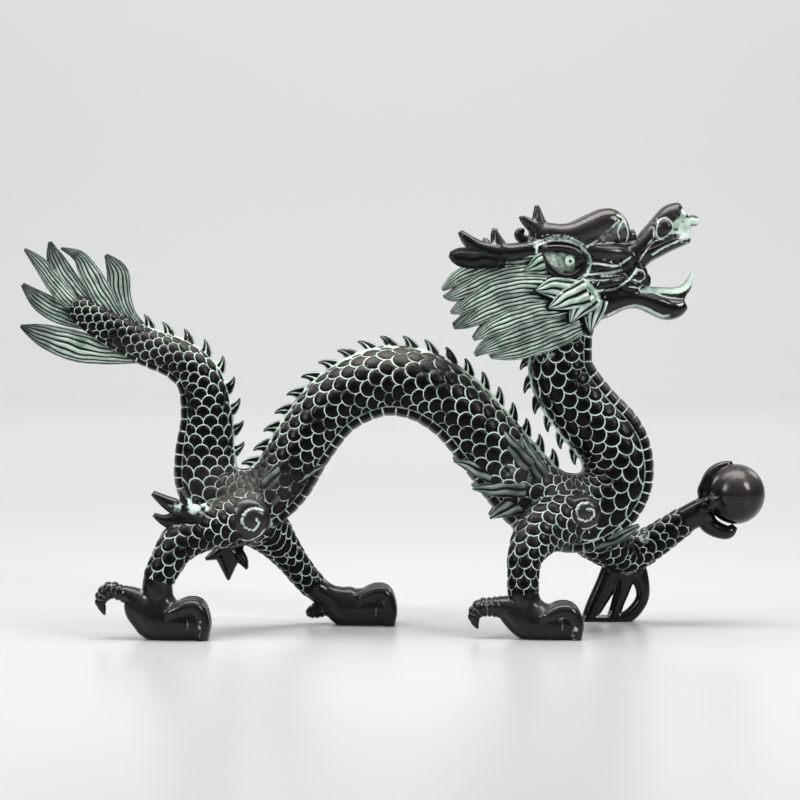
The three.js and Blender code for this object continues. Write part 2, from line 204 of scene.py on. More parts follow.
def wax(points, run, lie, finish, group="small"):
    rows, cols = points.shape[:2]
    a = np.arange(rows - 1)[:, None] * cols + np.arange(cols)
    b = np.arange(rows - 1)[:, None] * cols + (np.arange(cols) + 1) % cols
    quads = np.stack([a, b, b + cols, a + cols], -1).reshape(-1, 4)
    flat = points.reshape(-1, 3)
    tri = np.vstack([quads[:, [0, 1, 2]], quads[:, [0, 2, 3]]])
    seen = flat - points[0].mean(0)
    volume = np.einsum("ij,ij->i", seen[tri[:, 0]], np.cross(seen[tri[:, 1]], seen[tri[:, 2]])).sum()
    turned = volume < 0
    caps = [list(range(cols))[::-1], list((rows - 1) * cols + np.arange(cols))]
    faces = [q[::-1] if turned else q for q in quads.tolist() + caps]
    mesh = bpy.data.meshes.new("wax")
    mesh.from_pydata(flat.tolist(), [], faces)

    def corners(grid):
        q = np.stack([grid[:-1, :-1], grid[:-1, 1:], grid[1:, 1:], grid[1:, :-1]], 2).reshape(-1, 4, 2)
        q = q[:, ::-1] if turned else q
        first, final = grid[0, :-1], grid[-1, :-1]
        ends = [first if turned else first[::-1], final[::-1] if turned else final]
        return np.vstack([q.reshape(-1, 2), *ends]).astype(np.float32).ravel()

    for name, grid in (("run", run), ("lie", lie)):
        mesh.uv_layers.new(name=name).data.foreach_set("uv", corners(grid))
    numbers = np.broadcast_to(finish, (rows - 1, cols)).ravel()
    numbers = np.r_[numbers, numbers[0], numbers[-1]].astype(np.int32)
    for material in finish_materials:
        mesh.materials.append(material)
    mesh.polygons.foreach_set("material_index", numbers)
    owner = mesh.attributes.new("limb", "INT", "FACE")
    owner.data.foreach_set("value", [GROUPS.index(group)] * len(numbers))
    forms.append(bpy.data.objects.new("wax", mesh))


print("groups:", GROUPS)


# %% Push relief out of a grid of rings
def pushed(points, centre, height):
    down = np.gradient(points, axis=0)
    around = np.roll(points, -1, 1) - np.roll(points, 1, 1)
    normal = unit(np.cross(down, around))
    outward = np.sign((normal * (points - centre[:, None])).sum(-1, keepdims=True))
    return points + normal * outward * height[..., None]


def wrapped(grid):
    return np.concatenate([grid, grid[:, :1]], 1)


def plain_maps(at, cols, paint=0.0, around=1.0):
    rows = len(at)
    run = np.zeros((rows, cols + 1, 2))
    run[..., 0] = at[:, None]
    run[..., 1] = np.linspace(0, around, cols + 1)
    lie = np.zeros((rows, cols + 1, 2))
    lie[..., 0] = (at / at[-1])[:, None]
    lie[..., 1] = paint
    return run, lie


# %% Three kinds of form: smooth limb, combed lock, round boss
def limb(stations, cols=20, step=1.6, full=1.0, finish=POLISHED, across=Y_AXIS, group="small"):
    rows = [s if len(s) == 5 else (*s, s[3]) for s in stations]
    at, run = fine_run(rows, step)
    angle = circle(cols)
    points = rings(run, rounded(np.cos(angle), full), rounded(np.sin(angle), full), across)
    wax(points, *plain_maps(at, cols, around=20), finish, group)


def mirrored(rows, side):
    return [(x, side * y, z, radius) for x, y, z, radius in rows]


def lock(stations, y, thick, strands, drift=0.0, fine=4, step=2.0, depth=0.42, paint=0.0,
         tip_paint=None):
    last = len(stations) - 1
    rows = []
    for i, (x, z, h) in enumerate(stations):
        swell = 0.55 + 0.45 * math.sin(math.pi * (i + 0.5) / (last + 1))
        rows.append((x, y + drift * i / last, z, thick / 2 * swell, h))
    at, run = fine_run(rows, step)
    cols = 2 * strands * fine
    angle = circle(cols)
    points = rings(run, rounded(np.cos(angle), 0.8), np.sin(angle))
    maps, lie = plain_maps(at, cols, paint=paint, around=2 * strands * STRAND_WIDE)
    if tip_paint is not None:
        lie[..., 1] = paint + (tip_paint - paint) * smoothstep(0.3, 1.0, lie[..., 0])
    x, v = maps[:, :-1, 0], maps[:, :-1, 1]
    room = np.clip(run[:, 4:5] * 0.16, 0.03, depth)
    points = pushed(points, run[:, :3], room * (strand_relief(x, v) - STRAND_SINK))
    wax(points, maps, lie, STRANDS)


def ball(centre, half, cols, rows):
    lift = -np.cos(math.pi * (np.arange(rows + 1) + 0.2) / (rows + 0.4))
    reach = np.sqrt(1 - lift**2)
    angle = circle(cols)
    points = np.zeros((rows + 1, cols, 3))
    points[..., 0] = centre[0] + half[0] * reach[:, None] * np.cos(angle)
    points[..., 1] = centre[1] + half[1] * lift[:, None]
    points[..., 2] = centre[2] + half[2] * reach[:, None] * np.sin(angle)
    return lift, points


def boss(centre, half, cols=28, rows=12, finish=POLISHED, paint=0.0):
    lift, points = ball(centre, half, cols, rows)
    wax(points, *plain_maps(lift + 1, cols, paint=paint), finish)


print("wax forms so far:", len(forms))

# %% [markdown]
# ## Body
# The body is one long run from the tail tip to the back of the head. Its section has three parts: a thin
# raised ridge along the back, round flanks with scales, and a stepped band of plates under the belly.
# The scales are laid in millimetres and shrink a little where the tail thins, as a modeller would do.

# %% Stations of the body and its section
SPINE = [
    (-154, 151.5, 2.6), (-147, 146.2, 6.3), (-132, 137, 7.7), (-117, 129.8, 8.2), (-103, 124.2, 8.9),
    (-93, 114.8, 10.2), (-89.6, 98, 11.6), (-90.5, 80, 13.5), (-89, 67.5, 14.3), (-79, 60, 14.1),
    (-65, 60.5, 13.9), (-54, 69.5, 13.6), (-43.5, 86.5, 13.6), (-29, 104.2, 14.1), (-8, 114, 15),
    (12, 111.8, 15.3), (29, 101, 15), (43, 85.3, 15.5), (57, 68.4, 16.3), (70, 57, 16.8), (84, 53.7, 17.2),
    (96.5, 58.8, 16.4), (103.6, 70.5, 15.9), (101, 86, 15.8), (88, 101.2, 15.1), (77.6, 117, 14.6),
    (77.4, 133, 13.3), (81, 146, 12),
]
BODY_STEP = 1.08
BODY_SQUEEZE = 0.96
FLANK_COLS = 29
RIDGE_HALF = [(0.0, 1.08), (0.07, 1.07), (0.115, 1.03)]
BELLY_HALF = [(0.685, -0.745), (0.668, -0.79), (0.63, -0.86), (0.54, -0.915), (0.42, -0.965),
              (0.28, -1.0), (0.14, -1.02)]
BELLY_GROOVE = -0.5
BELLY_BORDER_PAINT = 0.75
flank = np.radians(np.linspace(80, -45, FLANK_COLS))
half = RIDGE_HALF + list(zip(np.cos(flank), np.sin(flank))) + BELLY_HALF + [(0.0, -1.025)]
section = np.array(half + [(-s, u) for s, u in half[1:-1]][::-1])
print("section:", len(section), "columns")

# %% Lay the body
at, spine = fine_run([(x, 0, z, r * BODY_SQUEEZE, r) for x, z, r in SPINE], BODY_STEP)
body_rings = rings(spine, section[:, 0], section[:, 1])
scale_size = (spine[:, 4] / 15.0) ** 0.6
laid = np.r_[0, np.cumsum(np.diff(at) / (0.5 * (scale_size[1:] + scale_size[:-1])))]
turn = np.arctan2(section[:, 1], np.abs(section[:, 0]))
round_mm = spine[:, 4:5] * (math.radians(12) - turn) / scale_size[:, None]
belly_line = body_rings[:, len(half) - 1]
belly_at = np.r_[0, np.cumsum(np.linalg.norm(np.diff(belly_line, axis=0), axis=1))]

place = np.abs(np.arange(len(section)) - (len(half) - 1))
belly = place < len(BELLY_HALF) + 0.5
ridge = place > len(half) - 1 - len(RIDGE_HALF) + 0.5
grow = smoothstep(0, 12, at)[:, None]
height = grow * scale_relief(laid[:, None], round_mm)
height[:, belly] = plate_relief(belly_at)[:, None]
height[:, place == len(BELLY_HALF)] = BELLY_GROOVE
height[:, ridge] = 0
body_rings = pushed(body_rings, spine[:, :3], height)
run_map = np.stack([np.broadcast_to(laid[:, None], round_mm.shape), round_mm], -1)
pale_ridge_part = 0.3 + 0.5 * (1 - smoothstep(95, 125, at)) + 0.35 * smoothstep(330, 360, at)
painted = np.where(ridge, pale_ridge_part[:, None], 0.0) * np.ones_like(round_mm)
painted[:, place == len(BELLY_HALF)] = BELLY_BORDER_PAINT
lie_map = np.stack([np.broadcast_to(belly_at[:, None], round_mm.shape), painted], -1)
face_place = np.minimum(place, np.roll(place, -1))
finish = np.where(face_place < len(BELLY_HALF), PLATES, SCALES)
finish = np.where(face_place > len(half) - 2 - len(RIDGE_HALF), RIDGE, finish)
wax(body_rings, wrapped(run_map), wrapped(lie_map), finish, "body")
print("body:", body_rings.shape[0], "rings, length", round(float(at[-1])), "mm")

# %% [markdown]
# ## Spikes
# A row of small leaf-shaped spikes stands on the ridge, each leaning towards the tail with combed lines
# on it. They are stood by distance along the back itself, so they stay evenly spaced where the back
# bends. The first few and the last few took more of the pale paint than those on the arch.

# %% Stand the spikes on the ridge
SPIKE_PITCH = 9.6
SPIKE_HIGH = 5.4
SPIKE_LONG = 7.6
SPIKE_THICK = 2.8
SPIKE_LEAN = 4.4
SPIKE_COLS = 18
TAIL_SPIKES = 120
NECK_SPIKES = 330
END_PAINT = 0.3
ARCH_PAINT = 0.06
SPIKE_FORM = [(-0.3, -0.05, 1.1, 1.2), (0.12, 0.0, 1, 1.0), (0.42, 0.18, 0.8, 0.66),
              (0.72, 0.5, 0.55, 0.4), (0.9, 0.8, 0.35, 0.24), (1.0, 1.1, 0.15, 0.1)]
up_dir = directions(spine)[2]
back_line = spine[:, :3] + up_dir * spine[:, 4:5]
back_at = np.r_[0, np.cumsum(np.linalg.norm(np.diff(back_line, axis=0), axis=1))]


def nearest_x(x, z):
    return int(np.argmin((spine[:, 0] - x) ** 2 + (spine[:, 2] - z) ** 2))


def spikes(start, end, size):
    first, final = back_at[nearest_x(*start)], back_at[nearest_x(*end)]
    count = 0
    for d in np.arange(first + SPIKE_PITCH / 2, final, SPIKE_PITCH):
        p = np.array([np.interp(d, back_at, back_line[:, k]) for k in range(3)])
        up = unit(np.array([np.interp(d, back_at, up_dir[:, k]) for k in range(3)]))
        tail = -np.cross(Y_AXIS, up)
        rows = []
        for high, slide, thick, long in SPIKE_FORM:
            q = p + up * high * SPIKE_HIGH * size + tail * slide * SPIKE_LEAN * size
            rows.append((*q, thick * SPIKE_THICK / 2, long * SPIKE_LONG * size / 2))
        step_at, run = fine_run(rows, 1.3)
        angle = circle(SPIKE_COLS)
        points = rings(run, np.cos(angle), np.sin(angle))
        maps, lie = plain_maps(step_at, SPIKE_COLS, around=6 * STRAND_WIDE)
        lie[..., 1] = END_PAINT if d < TAIL_SPIKES or d > NECK_SPIKES else ARCH_PAINT
        comb = strand_relief(0 * maps[:, :-1, 0], maps[:, :-1, 1]) - STRAND_SINK
        deep = np.clip(run[:, 4:5] * 0.14, 0.02, 0.34) * comb
        wax(pushed(points, run[:, :3], deep), maps, lie, RIDGE)
        count += 1
    return count


stood = (spikes((-124.5, 133), (-90.5, 80), 0.9) + spikes((-65, 60.5), (70, 57), 1)
         + spikes((101, 86), (77.4, 128), 0.9))
print("spikes:", stood)

# %% [markdown]
# ## Tail fin
# Six feathered lobes fan from the tail tip. Each is a flat combed lock with a pointed end; they overlap
# a little in depth, so that the fin has folds and is not a cut sheet.

# %% Six lobes
LOBES = [
    (-1.2, [(-118, 126, 3), (-136, 127.4, 5.2), (-151, 130.5, 7), (-166, 135.3, 5.2),
            (-176.6, 139.6, 0.8)]),
    (1.4, [(-143, 140, 3), (-158, 145.5, 5), (-168, 151, 4.4), (-176, 158.5, 1.0)]),
    (-1.4, [(-148, 146, 3), (-158, 156, 4.2), (-167, 167.5, 3.2), (-174.5, 174.6, 0.7)]),
    (0.8, [(-144, 147, 4), (-154, 159, 5.2), (-160.5, 170, 4), (-163, 178, 0.8)]),
    (-0.8, [(-128, 138, 3), (-138, 152.5, 5.4), (-145, 165, 4.6), (-149.5, 171.5, 2.8),
            (-157.5, 175, 0.6)]),
    (1.2, [(-114, 133.6, 1.6), (-125, 143, 3.2), (-130, 154, 4.8), (-131.5, 164, 5), (-136.8, 172, 0.9)]),
]
for y, rows in LOBES:
    lock(rows, y, 5.4, strands=8, fine=3, depth=0.6, paint=-0.1, tip_paint=-0.44)
print("lobes:", len(LOBES))

# %% [markdown]
# ## Legs
# The legs are shorter runs with the same scales, smaller, whose free edges point to the paw. Above the
# paw the scales stop and the metal is smooth, so the finish changes along the run.

# %% Four legs
LEG_SCALE = 0.84
LEG_COLS = 44
LEG_STEP = 1.05


def leg(stations, bare_from, outer):
    at, run = fine_run(stations, LEG_STEP)
    whole = np.linspace(0, 2 * math.pi, LEG_COLS + 1)
    angle = whole[:-1] + (0 if outer < 0 else math.pi)
    points = rings(run, np.cos(angle), np.sin(angle))
    mean = 0.5 * (run[:, 3:4] + run[:, 4:5])
    x = np.broadcast_to(-at[:, None] / LEG_SCALE, (len(at), LEG_COLS + 1))
    v = (whole - math.pi) * mean / LEG_SCALE
    covered = 1 - smoothstep(-1, 1, at - bare_from)[:, None]
    height = covered * LEG_SCALE * scale_relief(x[:, :-1], v[:, :-1])
    points = pushed(points, run[:, :3], height)
    run_map = np.stack([x, v], -1)
    finish = np.where(at[:-1, None] < bare_from, SCALES, POLISHED) * np.ones(LEG_COLS, int)
    wax(points, run_map, np.zeros_like(run_map), finish, "leg")
    return round(float(at[-1])), round(float(mean.mean()), 1)


print("near hind:", leg([
    (-64, -8, 54, 9, 12.5), (-77, -14, 51.5, 9, 11.5), (-91, -21, 48.5, 8.6, 10), (-101, -26, 42.5, 8, 8.8),
    (-106, -29, 35, 7.4, 7.6), (-110.5, -30, 25.5, 7, 7), (-110, -30, 16, 7.4, 7.6),
], 62, -1))
print("far hind:", leg([
    (-64, 8, 48, 10, 12.4), (-57, 13, 39.5, 8, 9), (-50.5, 17, 30.8, 6.8, 7), (-43, 20, 21, 6.2, 6.2),
    (-35, 21, 14, 6.2, 6), (-26, 21, 10.5, 7, 6.6),
], 41, 1))
print("near front:", leg([
    (88, -8, 55, 9, 12), (77, -13, 52.5, 9.4, 12.6), (66, -19, 47, 8.8, 11.3), (59.5, -24.5, 37.5, 7.8, 8.2),
    (58.2, -27, 28, 7, 7), (58.4, -28, 19, 7.2, 7.2), (61, -28, 11, 7.6, 8),
], 56, -1))
print("far front:", leg([
    (86, 8, 50, 9, 12.4), (94, 14, 42, 9, 11.2), (104, 22, 34.5, 8.6, 9.2), (112, 26, 32.4, 8.2, 8.6),
    (121, 26, 37, 7.4, 7.8), (131.5, 24, 44.2, 6.6, 6.8), (140, 22, 50, 6.2, 6.2), (148.5, 21, 54, 6.6, 6.6),
], 68, 1))

# %% [markdown]
# ## Paws
# Each standing paw is a heavy smooth pad with three toes turned down in front and a ringed dew claw
# curling behind. The rings on the claw are swellings of its radius along the run.

# %% Pads, toes and ringed claws
PAW_WIDE = 19
PAW_COLS = 40
TOE_RADIUS = 3.6
CLAW_COLS = 18
CLAW_THICKER = 1.12
RINGS_PER_MM = 0.42
RING_SWELL = 0.45


def ringed_claw(stations):
    rows = [(*s, s[3]) for s in stations]
    at, run = fine_run(rows, 0.55)
    angle = circle(CLAW_COLS)
    points = rings(run, np.cos(angle), np.sin(angle))
    beat = np.abs(np.sin(math.pi * RINGS_PER_MM * at)) ** 0.6
    end = at[-1]
    fade = smoothstep(end * 0.22, end * 0.36, at) * (1 - smoothstep(end * 0.8, end * 0.9, at))
    swell = RING_SWELL * 2 * (beat - 0.75) * fade
    points = pushed(points, run[:, :3], swell[:, None] * np.ones(CLAW_COLS))
    maps, lie = plain_maps(at, CLAW_COLS, around=20)
    lie[..., 1] = (0.55 * fade * (1 - smoothstep(0.25, 0.6, beat)))[:, None]
    wax(points, maps, lie, POLISHED)


def paw(heel, y, lift, pad_heel, claw):
    wide = PAW_WIDE / 2
    pad = [(x, low, top - lift, wide - slim) for x, low, top, slim in pad_heel]
    pad += [(11, -1.8, 14.6, wide), (18.5, -1.8, 14.2, wide - 0.6), (21.8, -0.6, 12.4, wide - 2.2)]
    rows = [(heel + x, y, (low + top + lift) / 2, w, (top + lift - low) / 2) for x, low, top, w in pad]
    at, run = fine_run(rows, 1.25)
    angle = circle(PAW_COLS)
    points = rings(run, rounded(np.cos(angle), 0.85), rounded(np.sin(angle), 0.9))
    crease = np.exp(-((points[..., 0] - heel - 15.2 + 0.14 * points[..., 2]) / 0.9) ** 2)
    side_on = smoothstep(0.35, 0.8, np.abs(np.cos(angle)))
    above = smoothstep(1.5, 5, points[..., 2])
    points = pushed(points, run[:, :3], -0.6 * crease * side_on)
    maps, lie = plain_maps(at, PAW_COLS, around=30)
    lie[..., 1] = wrapped(crease**2 * side_on * above) * 0.5
    wax(points, maps, lie, POLISHED, "paw")
    for i in range(3):
        toe_y = y + (wide - TOE_RADIUS + 0.2) * (i - 1)
        limb([(heel + 4.6, toe_y, 8.8 + lift, 3.0), (heel + 10, toe_y, 11 + lift, 3.5),
              (heel + 14.6, toe_y, 12.7 + lift, TOE_RADIUS),
              (heel + 18.8, toe_y, 11.6 + lift, TOE_RADIUS), (heel + 21.2, toe_y, 7.4, TOE_RADIUS - 0.4),
              (heel + 20.8, toe_y, 3.4, TOE_RADIUS - 0.5), (heel + 20.4, toe_y, -1.4, TOE_RADIUS - 1.0)],
             cols=18, step=1.3, group="paw")
    ringed_claw([(heel + x, y, z, r * CLAW_THICKER) for x, z, r in claw])


NEAR_HEEL = [(-13, 9.6, 18.4, 5.2), (-9, 5.2, 19.4, 3.6), (-4, 1, 19.6, 2), (2, -1.7, 17.6, 0.9)]
HIND_HEEL = [(-13.5, 14.6, 21.8, 5.6), (-10, 7.8, 23.4, 4), (-5, 2.4, 24, 2.4), (0, -1.2, 22, 1.4),
             (5, -1.8, 18.6, 0.7)]
FAR_HEEL = [(-11, 8.4, 17.4, 5.2), (-6, 3, 18.4, 3.2), (-1, -0.8, 18.2, 1.6), (4, -1.8, 16.8, 0.8)]
NEAR_CLAW = [(-6, 13.4, 5.4), (-12, 14, 4.7), (-18, 14.2, 3.9), (-23, 13.6, 3.7), (-25.8, 10.6, 2.9),
             (-25.4, 6.8, 1.6), (-24.2, 4.4, 0.4)]
HIND_CLAW = [(-8, 17, 5), (-13, 19.4, 4), (-17.5, 20.9, 3.2), (-21.6, 22, 3.5), (-25, 20, 3.2),
             (-26.4, 16.6, 2.4), (-25.4, 13, 1.3), (-24.6, 10.8, 0.4)]
FAR_CLAW = [(-5, 10.4, 4.6), (-9, 8.4, 3.9), (-13, 7, 3.4), (-16.5, 5.8, 2.8), (-19.2, 5.0, 1.2)]
paw(-110.5, -30, 2.4, HIND_HEEL, HIND_CLAW)
paw(61.5, -28, 0.4, NEAR_HEEL, NEAR_CLAW)
paw(-24.5, 21, 2.6, FAR_HEEL, FAR_CLAW)
print("paws: 3 standing, each with a claw behind")

# %% [markdown]
# ## Pearl
# The raised paw holds a pearl of polished bronze. Three bent fingers lie on it, one over the top and one
# on each side, and a lower finger curls under it and stands off. The first three are runs laid on the
# ball's surface, thicker at the knuckle, and the lower one is a plain run of its own.

# %% The pearl and the fingers round it
PEARL = (161.5, 21, 60.8)
PEARL_RADIUS = 14
FINGER_STATIONS = 7
LOWER_FINGER = [(146, 21, 52, 5), (149, 21, 46.6, 4.4), (154.4, 21, 43.6, 3.7), (158.6, 21, 43.4, 3.2),
                (161.2, 21, 46, 1.6)]
boss(PEARL, (PEARL_RADIUS,) * 3, cols=44, rows=24)


def finger(turn_angle, reach, tip):
    rows = []
    out = PEARL_RADIUS + 0.5
    for i in range(FINGER_STATIONS):
        part = i / (FINGER_STATIONS - 1)
        swing = math.pi * (0.95 - reach * part)
        along, off = math.cos(swing) * out, math.sin(swing) * out
        knuckle = (3.4 + 0.7 * math.sin(part * math.pi * 2.6) ** 2) * (1 - part**3) + tip * part**3
        rows.append((PEARL[0] + along * 0.94 - off * 0.32 * math.sin(turn_angle),
                     PEARL[1] - off * math.cos(turn_angle),
                     PEARL[2] + along * 0.34 + off * 0.94 * math.sin(turn_angle), knuckle))
    limb(rows, cols=16, step=1.3, across=(0.2, math.sin(turn_angle), math.cos(turn_angle)))


finger(math.pi / 2, 0.52, 1.0)
finger(0.15, 0.22, 1.4)
limb(LOWER_FINGER, 18, 1.0)
finger(math.pi - 0.15, 0.3, 1.4)
print("pearl radius", PEARL_RADIUS, "mm")

# %% [markdown]
# ## Tufts and flames
# Small tufts of hair grow behind the knee, under the haunch and at the elbow of the raised leg; the
# elbow tuft reaches the ground. Flames lie along the flanks behind each shoulder and hip. The tufts are
# smooth flat runs with one small combed lock under the chest, and the flames are the same combed lock as
# the fin, in a smaller size.

# %% Tufts
TUFTS = [
    (-27, 7, [[(-90, 54.5, 5), (-100, 58, 4.2), (-107, 61.5, 3.0), (-113, 65.5, 1.3)],
              [(-92, 53, 5), (-104, 52.8, 3.8), (-108.5, 53.5, 2.4), (-112.6, 55.8, 1.0)],
              [(-95, 56, 3.4), (-98, 62, 2.6), (-100, 67, 0.8)]]),
    (12, 8, [[(-80, 43, 8), (-80.5, 34, 6.8), (-80.5, 27.5, 3.6), (-80.3, 22, 0.8)],
             [(-78, 38, 4), (-85, 34.4, 3.2), (-91, 31.6, 0.9)],
             [(-78, 36, 4), (-73.5, 31, 2.6), (-71.5, 27, 0.8)]]),
    (32, 7.4, [[(106, 29, 6), (100.8, 17.6, 5.2), (95.6, 8, 4.4), (91.4, -0.6, 3.4)],
               [(110, 28, 6), (109, 17.6, 4.2), (106, 8, 3.2), (103.4, -0.6, 3.4)],
               [(112, 28, 7), (117, 20, 4.2), (118, 11, 3.2), (112.6, 3.4, 3.2), (106, 0.5, 2.6)],
               [(88.6, 0.6, 1.4), (95, 0.8, 2.2), (104, 0.8, 2.2), (113, 2, 2.2)],
               [(104, 24, 5), (110, 22.4, 6), (116, 24, 5)]]),
]
for y, thick, strands in TUFTS:
    for rows in strands:
        limb([(x, y, z, thick / 2 * 0.9, h) for x, z, h in rows], cols=20, step=1.4, full=0.9)
lock([(92, 41, 3.2), (103, 44, 3.2), (113, 49, 1.0)], -7, 6.4, strands=3, drift=-2, paint=-0.4)

# %% Flames on the flanks
FLAMES = [
    (13.5, [(62, 68, 4.8), (44, 73.5, 5), (26.5, 78.6, 0.7)]),
    (14, [(66, 60, 4.6), (53, 58, 4.6), (43.6, 52.6, 0.7)]),
    (14.6, [(62, 76, 3.6), (54, 84, 4), (47, 95, 0.7)]),
    (15.2, [(60, 66, 3.4), (48, 66, 3.8), (35.4, 66, 0.7)]),
    (14.8, [(68, 72, 3.4), (62, 80, 3.4), (58, 89, 0.7)]),
    (11.5, [(-60, 61, 4), (-47, 71, 4.2), (-34.6, 76.6, 0.7)]),
    (12.4, [(-62, 67, 3.4), (-53, 76, 3.4), (-45, 83, 0.7)]),
]
for side in (-1, 1):
    for start, rows in FLAMES:
        lock(rows, side * start, 5.4, strands=3, drift=-side * 5.5, depth=0.5, paint=-0.44, tip_paint=-0.34)
print("flames:", 2 * len(FLAMES))

# %% [markdown]
# ## Drawing on the wax
# Some lines are drawn on a surface rather than laid along a run: the spiral on each shoulder and hip,
# and the folds of the face. A stroke is a short smooth line in the side view with a width, a height
# (negative cuts) and an amount of pale paint, and it shapes whatever surface lies under it.

# %% Strokes
def stroke_fields(x, z, strokes):
    rise = np.zeros_like(x)
    pale = np.zeros_like(x)
    for points, wide, high, paint in strokes:
        _, line = fine_run([(px, 0, pz) for px, pz in points], 0.6)
        flat = np.stack([x.ravel(), z.ravel()], 1)
        near = np.full(len(flat), 1e9)
        box = (flat[:, 0] > line[:, 0].min() - 4 * wide) & (flat[:, 0] < line[:, 0].max() + 4 * wide)
        box &= (flat[:, 1] > line[:, 2].min() - 4 * wide) & (flat[:, 1] < line[:, 2].max() + 4 * wide)
        if box.any():
            gap = np.hypot(flat[box, 0:1] - line[None, :, 0], flat[box, 1:2] - line[None, :, 2])
            near[box] = gap.min(1)
        near = near.reshape(x.shape)
        rise = rise + high * np.exp(-(near / wide) ** 2)
        mark = 1 - smoothstep(0.35, 1.05, near / wide)
        pale = np.where(mark > 0, pale * (1 - mark) + paint * mark, pale)
    return rise, pale


# %% Ovals on the four joints, each with a drawn spiral
OVAL_COLS = 84
OVAL_ROWS = 30


def oval(centre, half, side, strokes):
    lift, points = ball(centre, half, OVAL_COLS, OVAL_ROWS)
    rise, pale = stroke_fields(points[..., 0], points[..., 2], strokes)
    points[..., 1] += side * rise * smoothstep(-0.2, 0.2, side * lift)[:, None]
    maps, lie = plain_maps(lift + 1, OVAL_COLS)
    lie[..., 1] = wrapped(pale)
    wax(points, maps, lie, POLISHED)


HIP_SPIRAL = [([(-78.6, 49.5), (-76.6, 45.6), (-71.5, 43.4), (-65.5, 44.6), (-61.4, 48.6)], 0.55, -0.5, 1.0),
              ([(-62.6, 57.4), (-66, 58.3), (-69.8, 57), (-72.2, 53.1), (-70.4, 49.5), (-66.9, 48.4),
                (-64.1, 50.8), (-65.4, 53.4)], 0.65, -0.9, 1.3)]
SHOULDER_SPIRAL = [([(80.6, 61), (79, 56), (81.6, 51), (87, 48.4), (93, 50.4)], 0.55, -0.6, 1.1),
                   ([(88.6, 60.6), (84.6, 59.8), (83, 56.6), (84.4, 53.4), (88, 52.2), (91, 54.4),
                     (90.6, 57.4), (88, 57.8)], 0.6, -0.9, 1.3)]
for side, hip_out in ((-1, 18.2), (1, 15)):
    oval((-69.6, side * hip_out, 52.6), (10.8, 6, 10), side, HIP_SPIRAL)
    oval((86, side * 15.8, 55.4), (9, 5.8, 8.4), side, SHOULDER_SPIRAL)
print("ovals: 4")

# %% [markdown]
# ## Head
# The face is modelled full before it is drawn on: skull, brows with their prongs, lips, jaw, tongue and
# nose are separate swellings. Fused and remeshed to small even faces, they melt into each other as wax
# does, and the strokes then cut the folds, the lip line and the nostrils. Hair, antlers and eyes stay
# crisp runs.

# %% Swellings on the middle of the face
FACE_MIDDLE = [
    # skull, nose bridge and nose
    (44, 1.2, 0.8, [(66, 154, 10, 12), (70, 158, 12.4, 15), (75, 161.5, 14.6, 17.5), (86, 163.5, 15, 16.5),
                    (97, 167, 12.4, 12.4), (107, 170, 9.8, 8.8), (114, 173.5, 8.8, 6.8),
                    (121, 181, 8.2, 6.4), (128, 188.2, 7.6, 6.8), (132, 191.4, 5.6, 5.2),
                    (134, 192.6, 3.6, 3.6)]),
    # upper lip
    (36, 1.2, 1, [(108, 168.6, 8.8, 4.6), (118, 172.4, 8.4, 3.6), (127, 176, 7.6, 2.8),
                  (137, 178.6, 4.4, 1.2)]),
    # lower jaw
    (40, 1.2, 0.85, [(80, 149, 12, 9), (84, 150, 13, 9.5), (95, 150.4, 12.6, 8), (106, 152.6, 11, 5.6),
                     (114, 152.2, 9.6, 5), (121, 149.8, 8.6, 5.6), (126.4, 147.8, 7.8, 5.6),
                     (131, 148.2, 6.8, 4.8), (134.8, 150.2, 5, 3.0)]),
    # tongue
    (24, 1.0, 1, [(112, 155.5, 6, 2.6), (123, 154.6, 5.4, 2.8), (130, 154.2, 4.8, 3), (134.4, 156, 3.8, 2.6),
                  (137, 160, 2.4, 1.6), (138.6, 165.6, 0.8, 0.5)]),
    # knob at the nose
    (24, 1.0, 1, [(126, 184, 4, 4), (131, 185.8, 3.2, 2.6), (135, 187.2, 2.4, 1.8), (138.4, 187.6, 3.2, 2.7),
                  (141.2, 186.8, 2.0, 1.8)]),
]
face_start = len(forms)
for cols, step, full, rows in FACE_MIDDLE:
    limb([(x, 0, z, wide, deep) for x, z, wide, deep in rows], cols, step, full)
print("middle swellings:", len(FACE_MIDDLE))

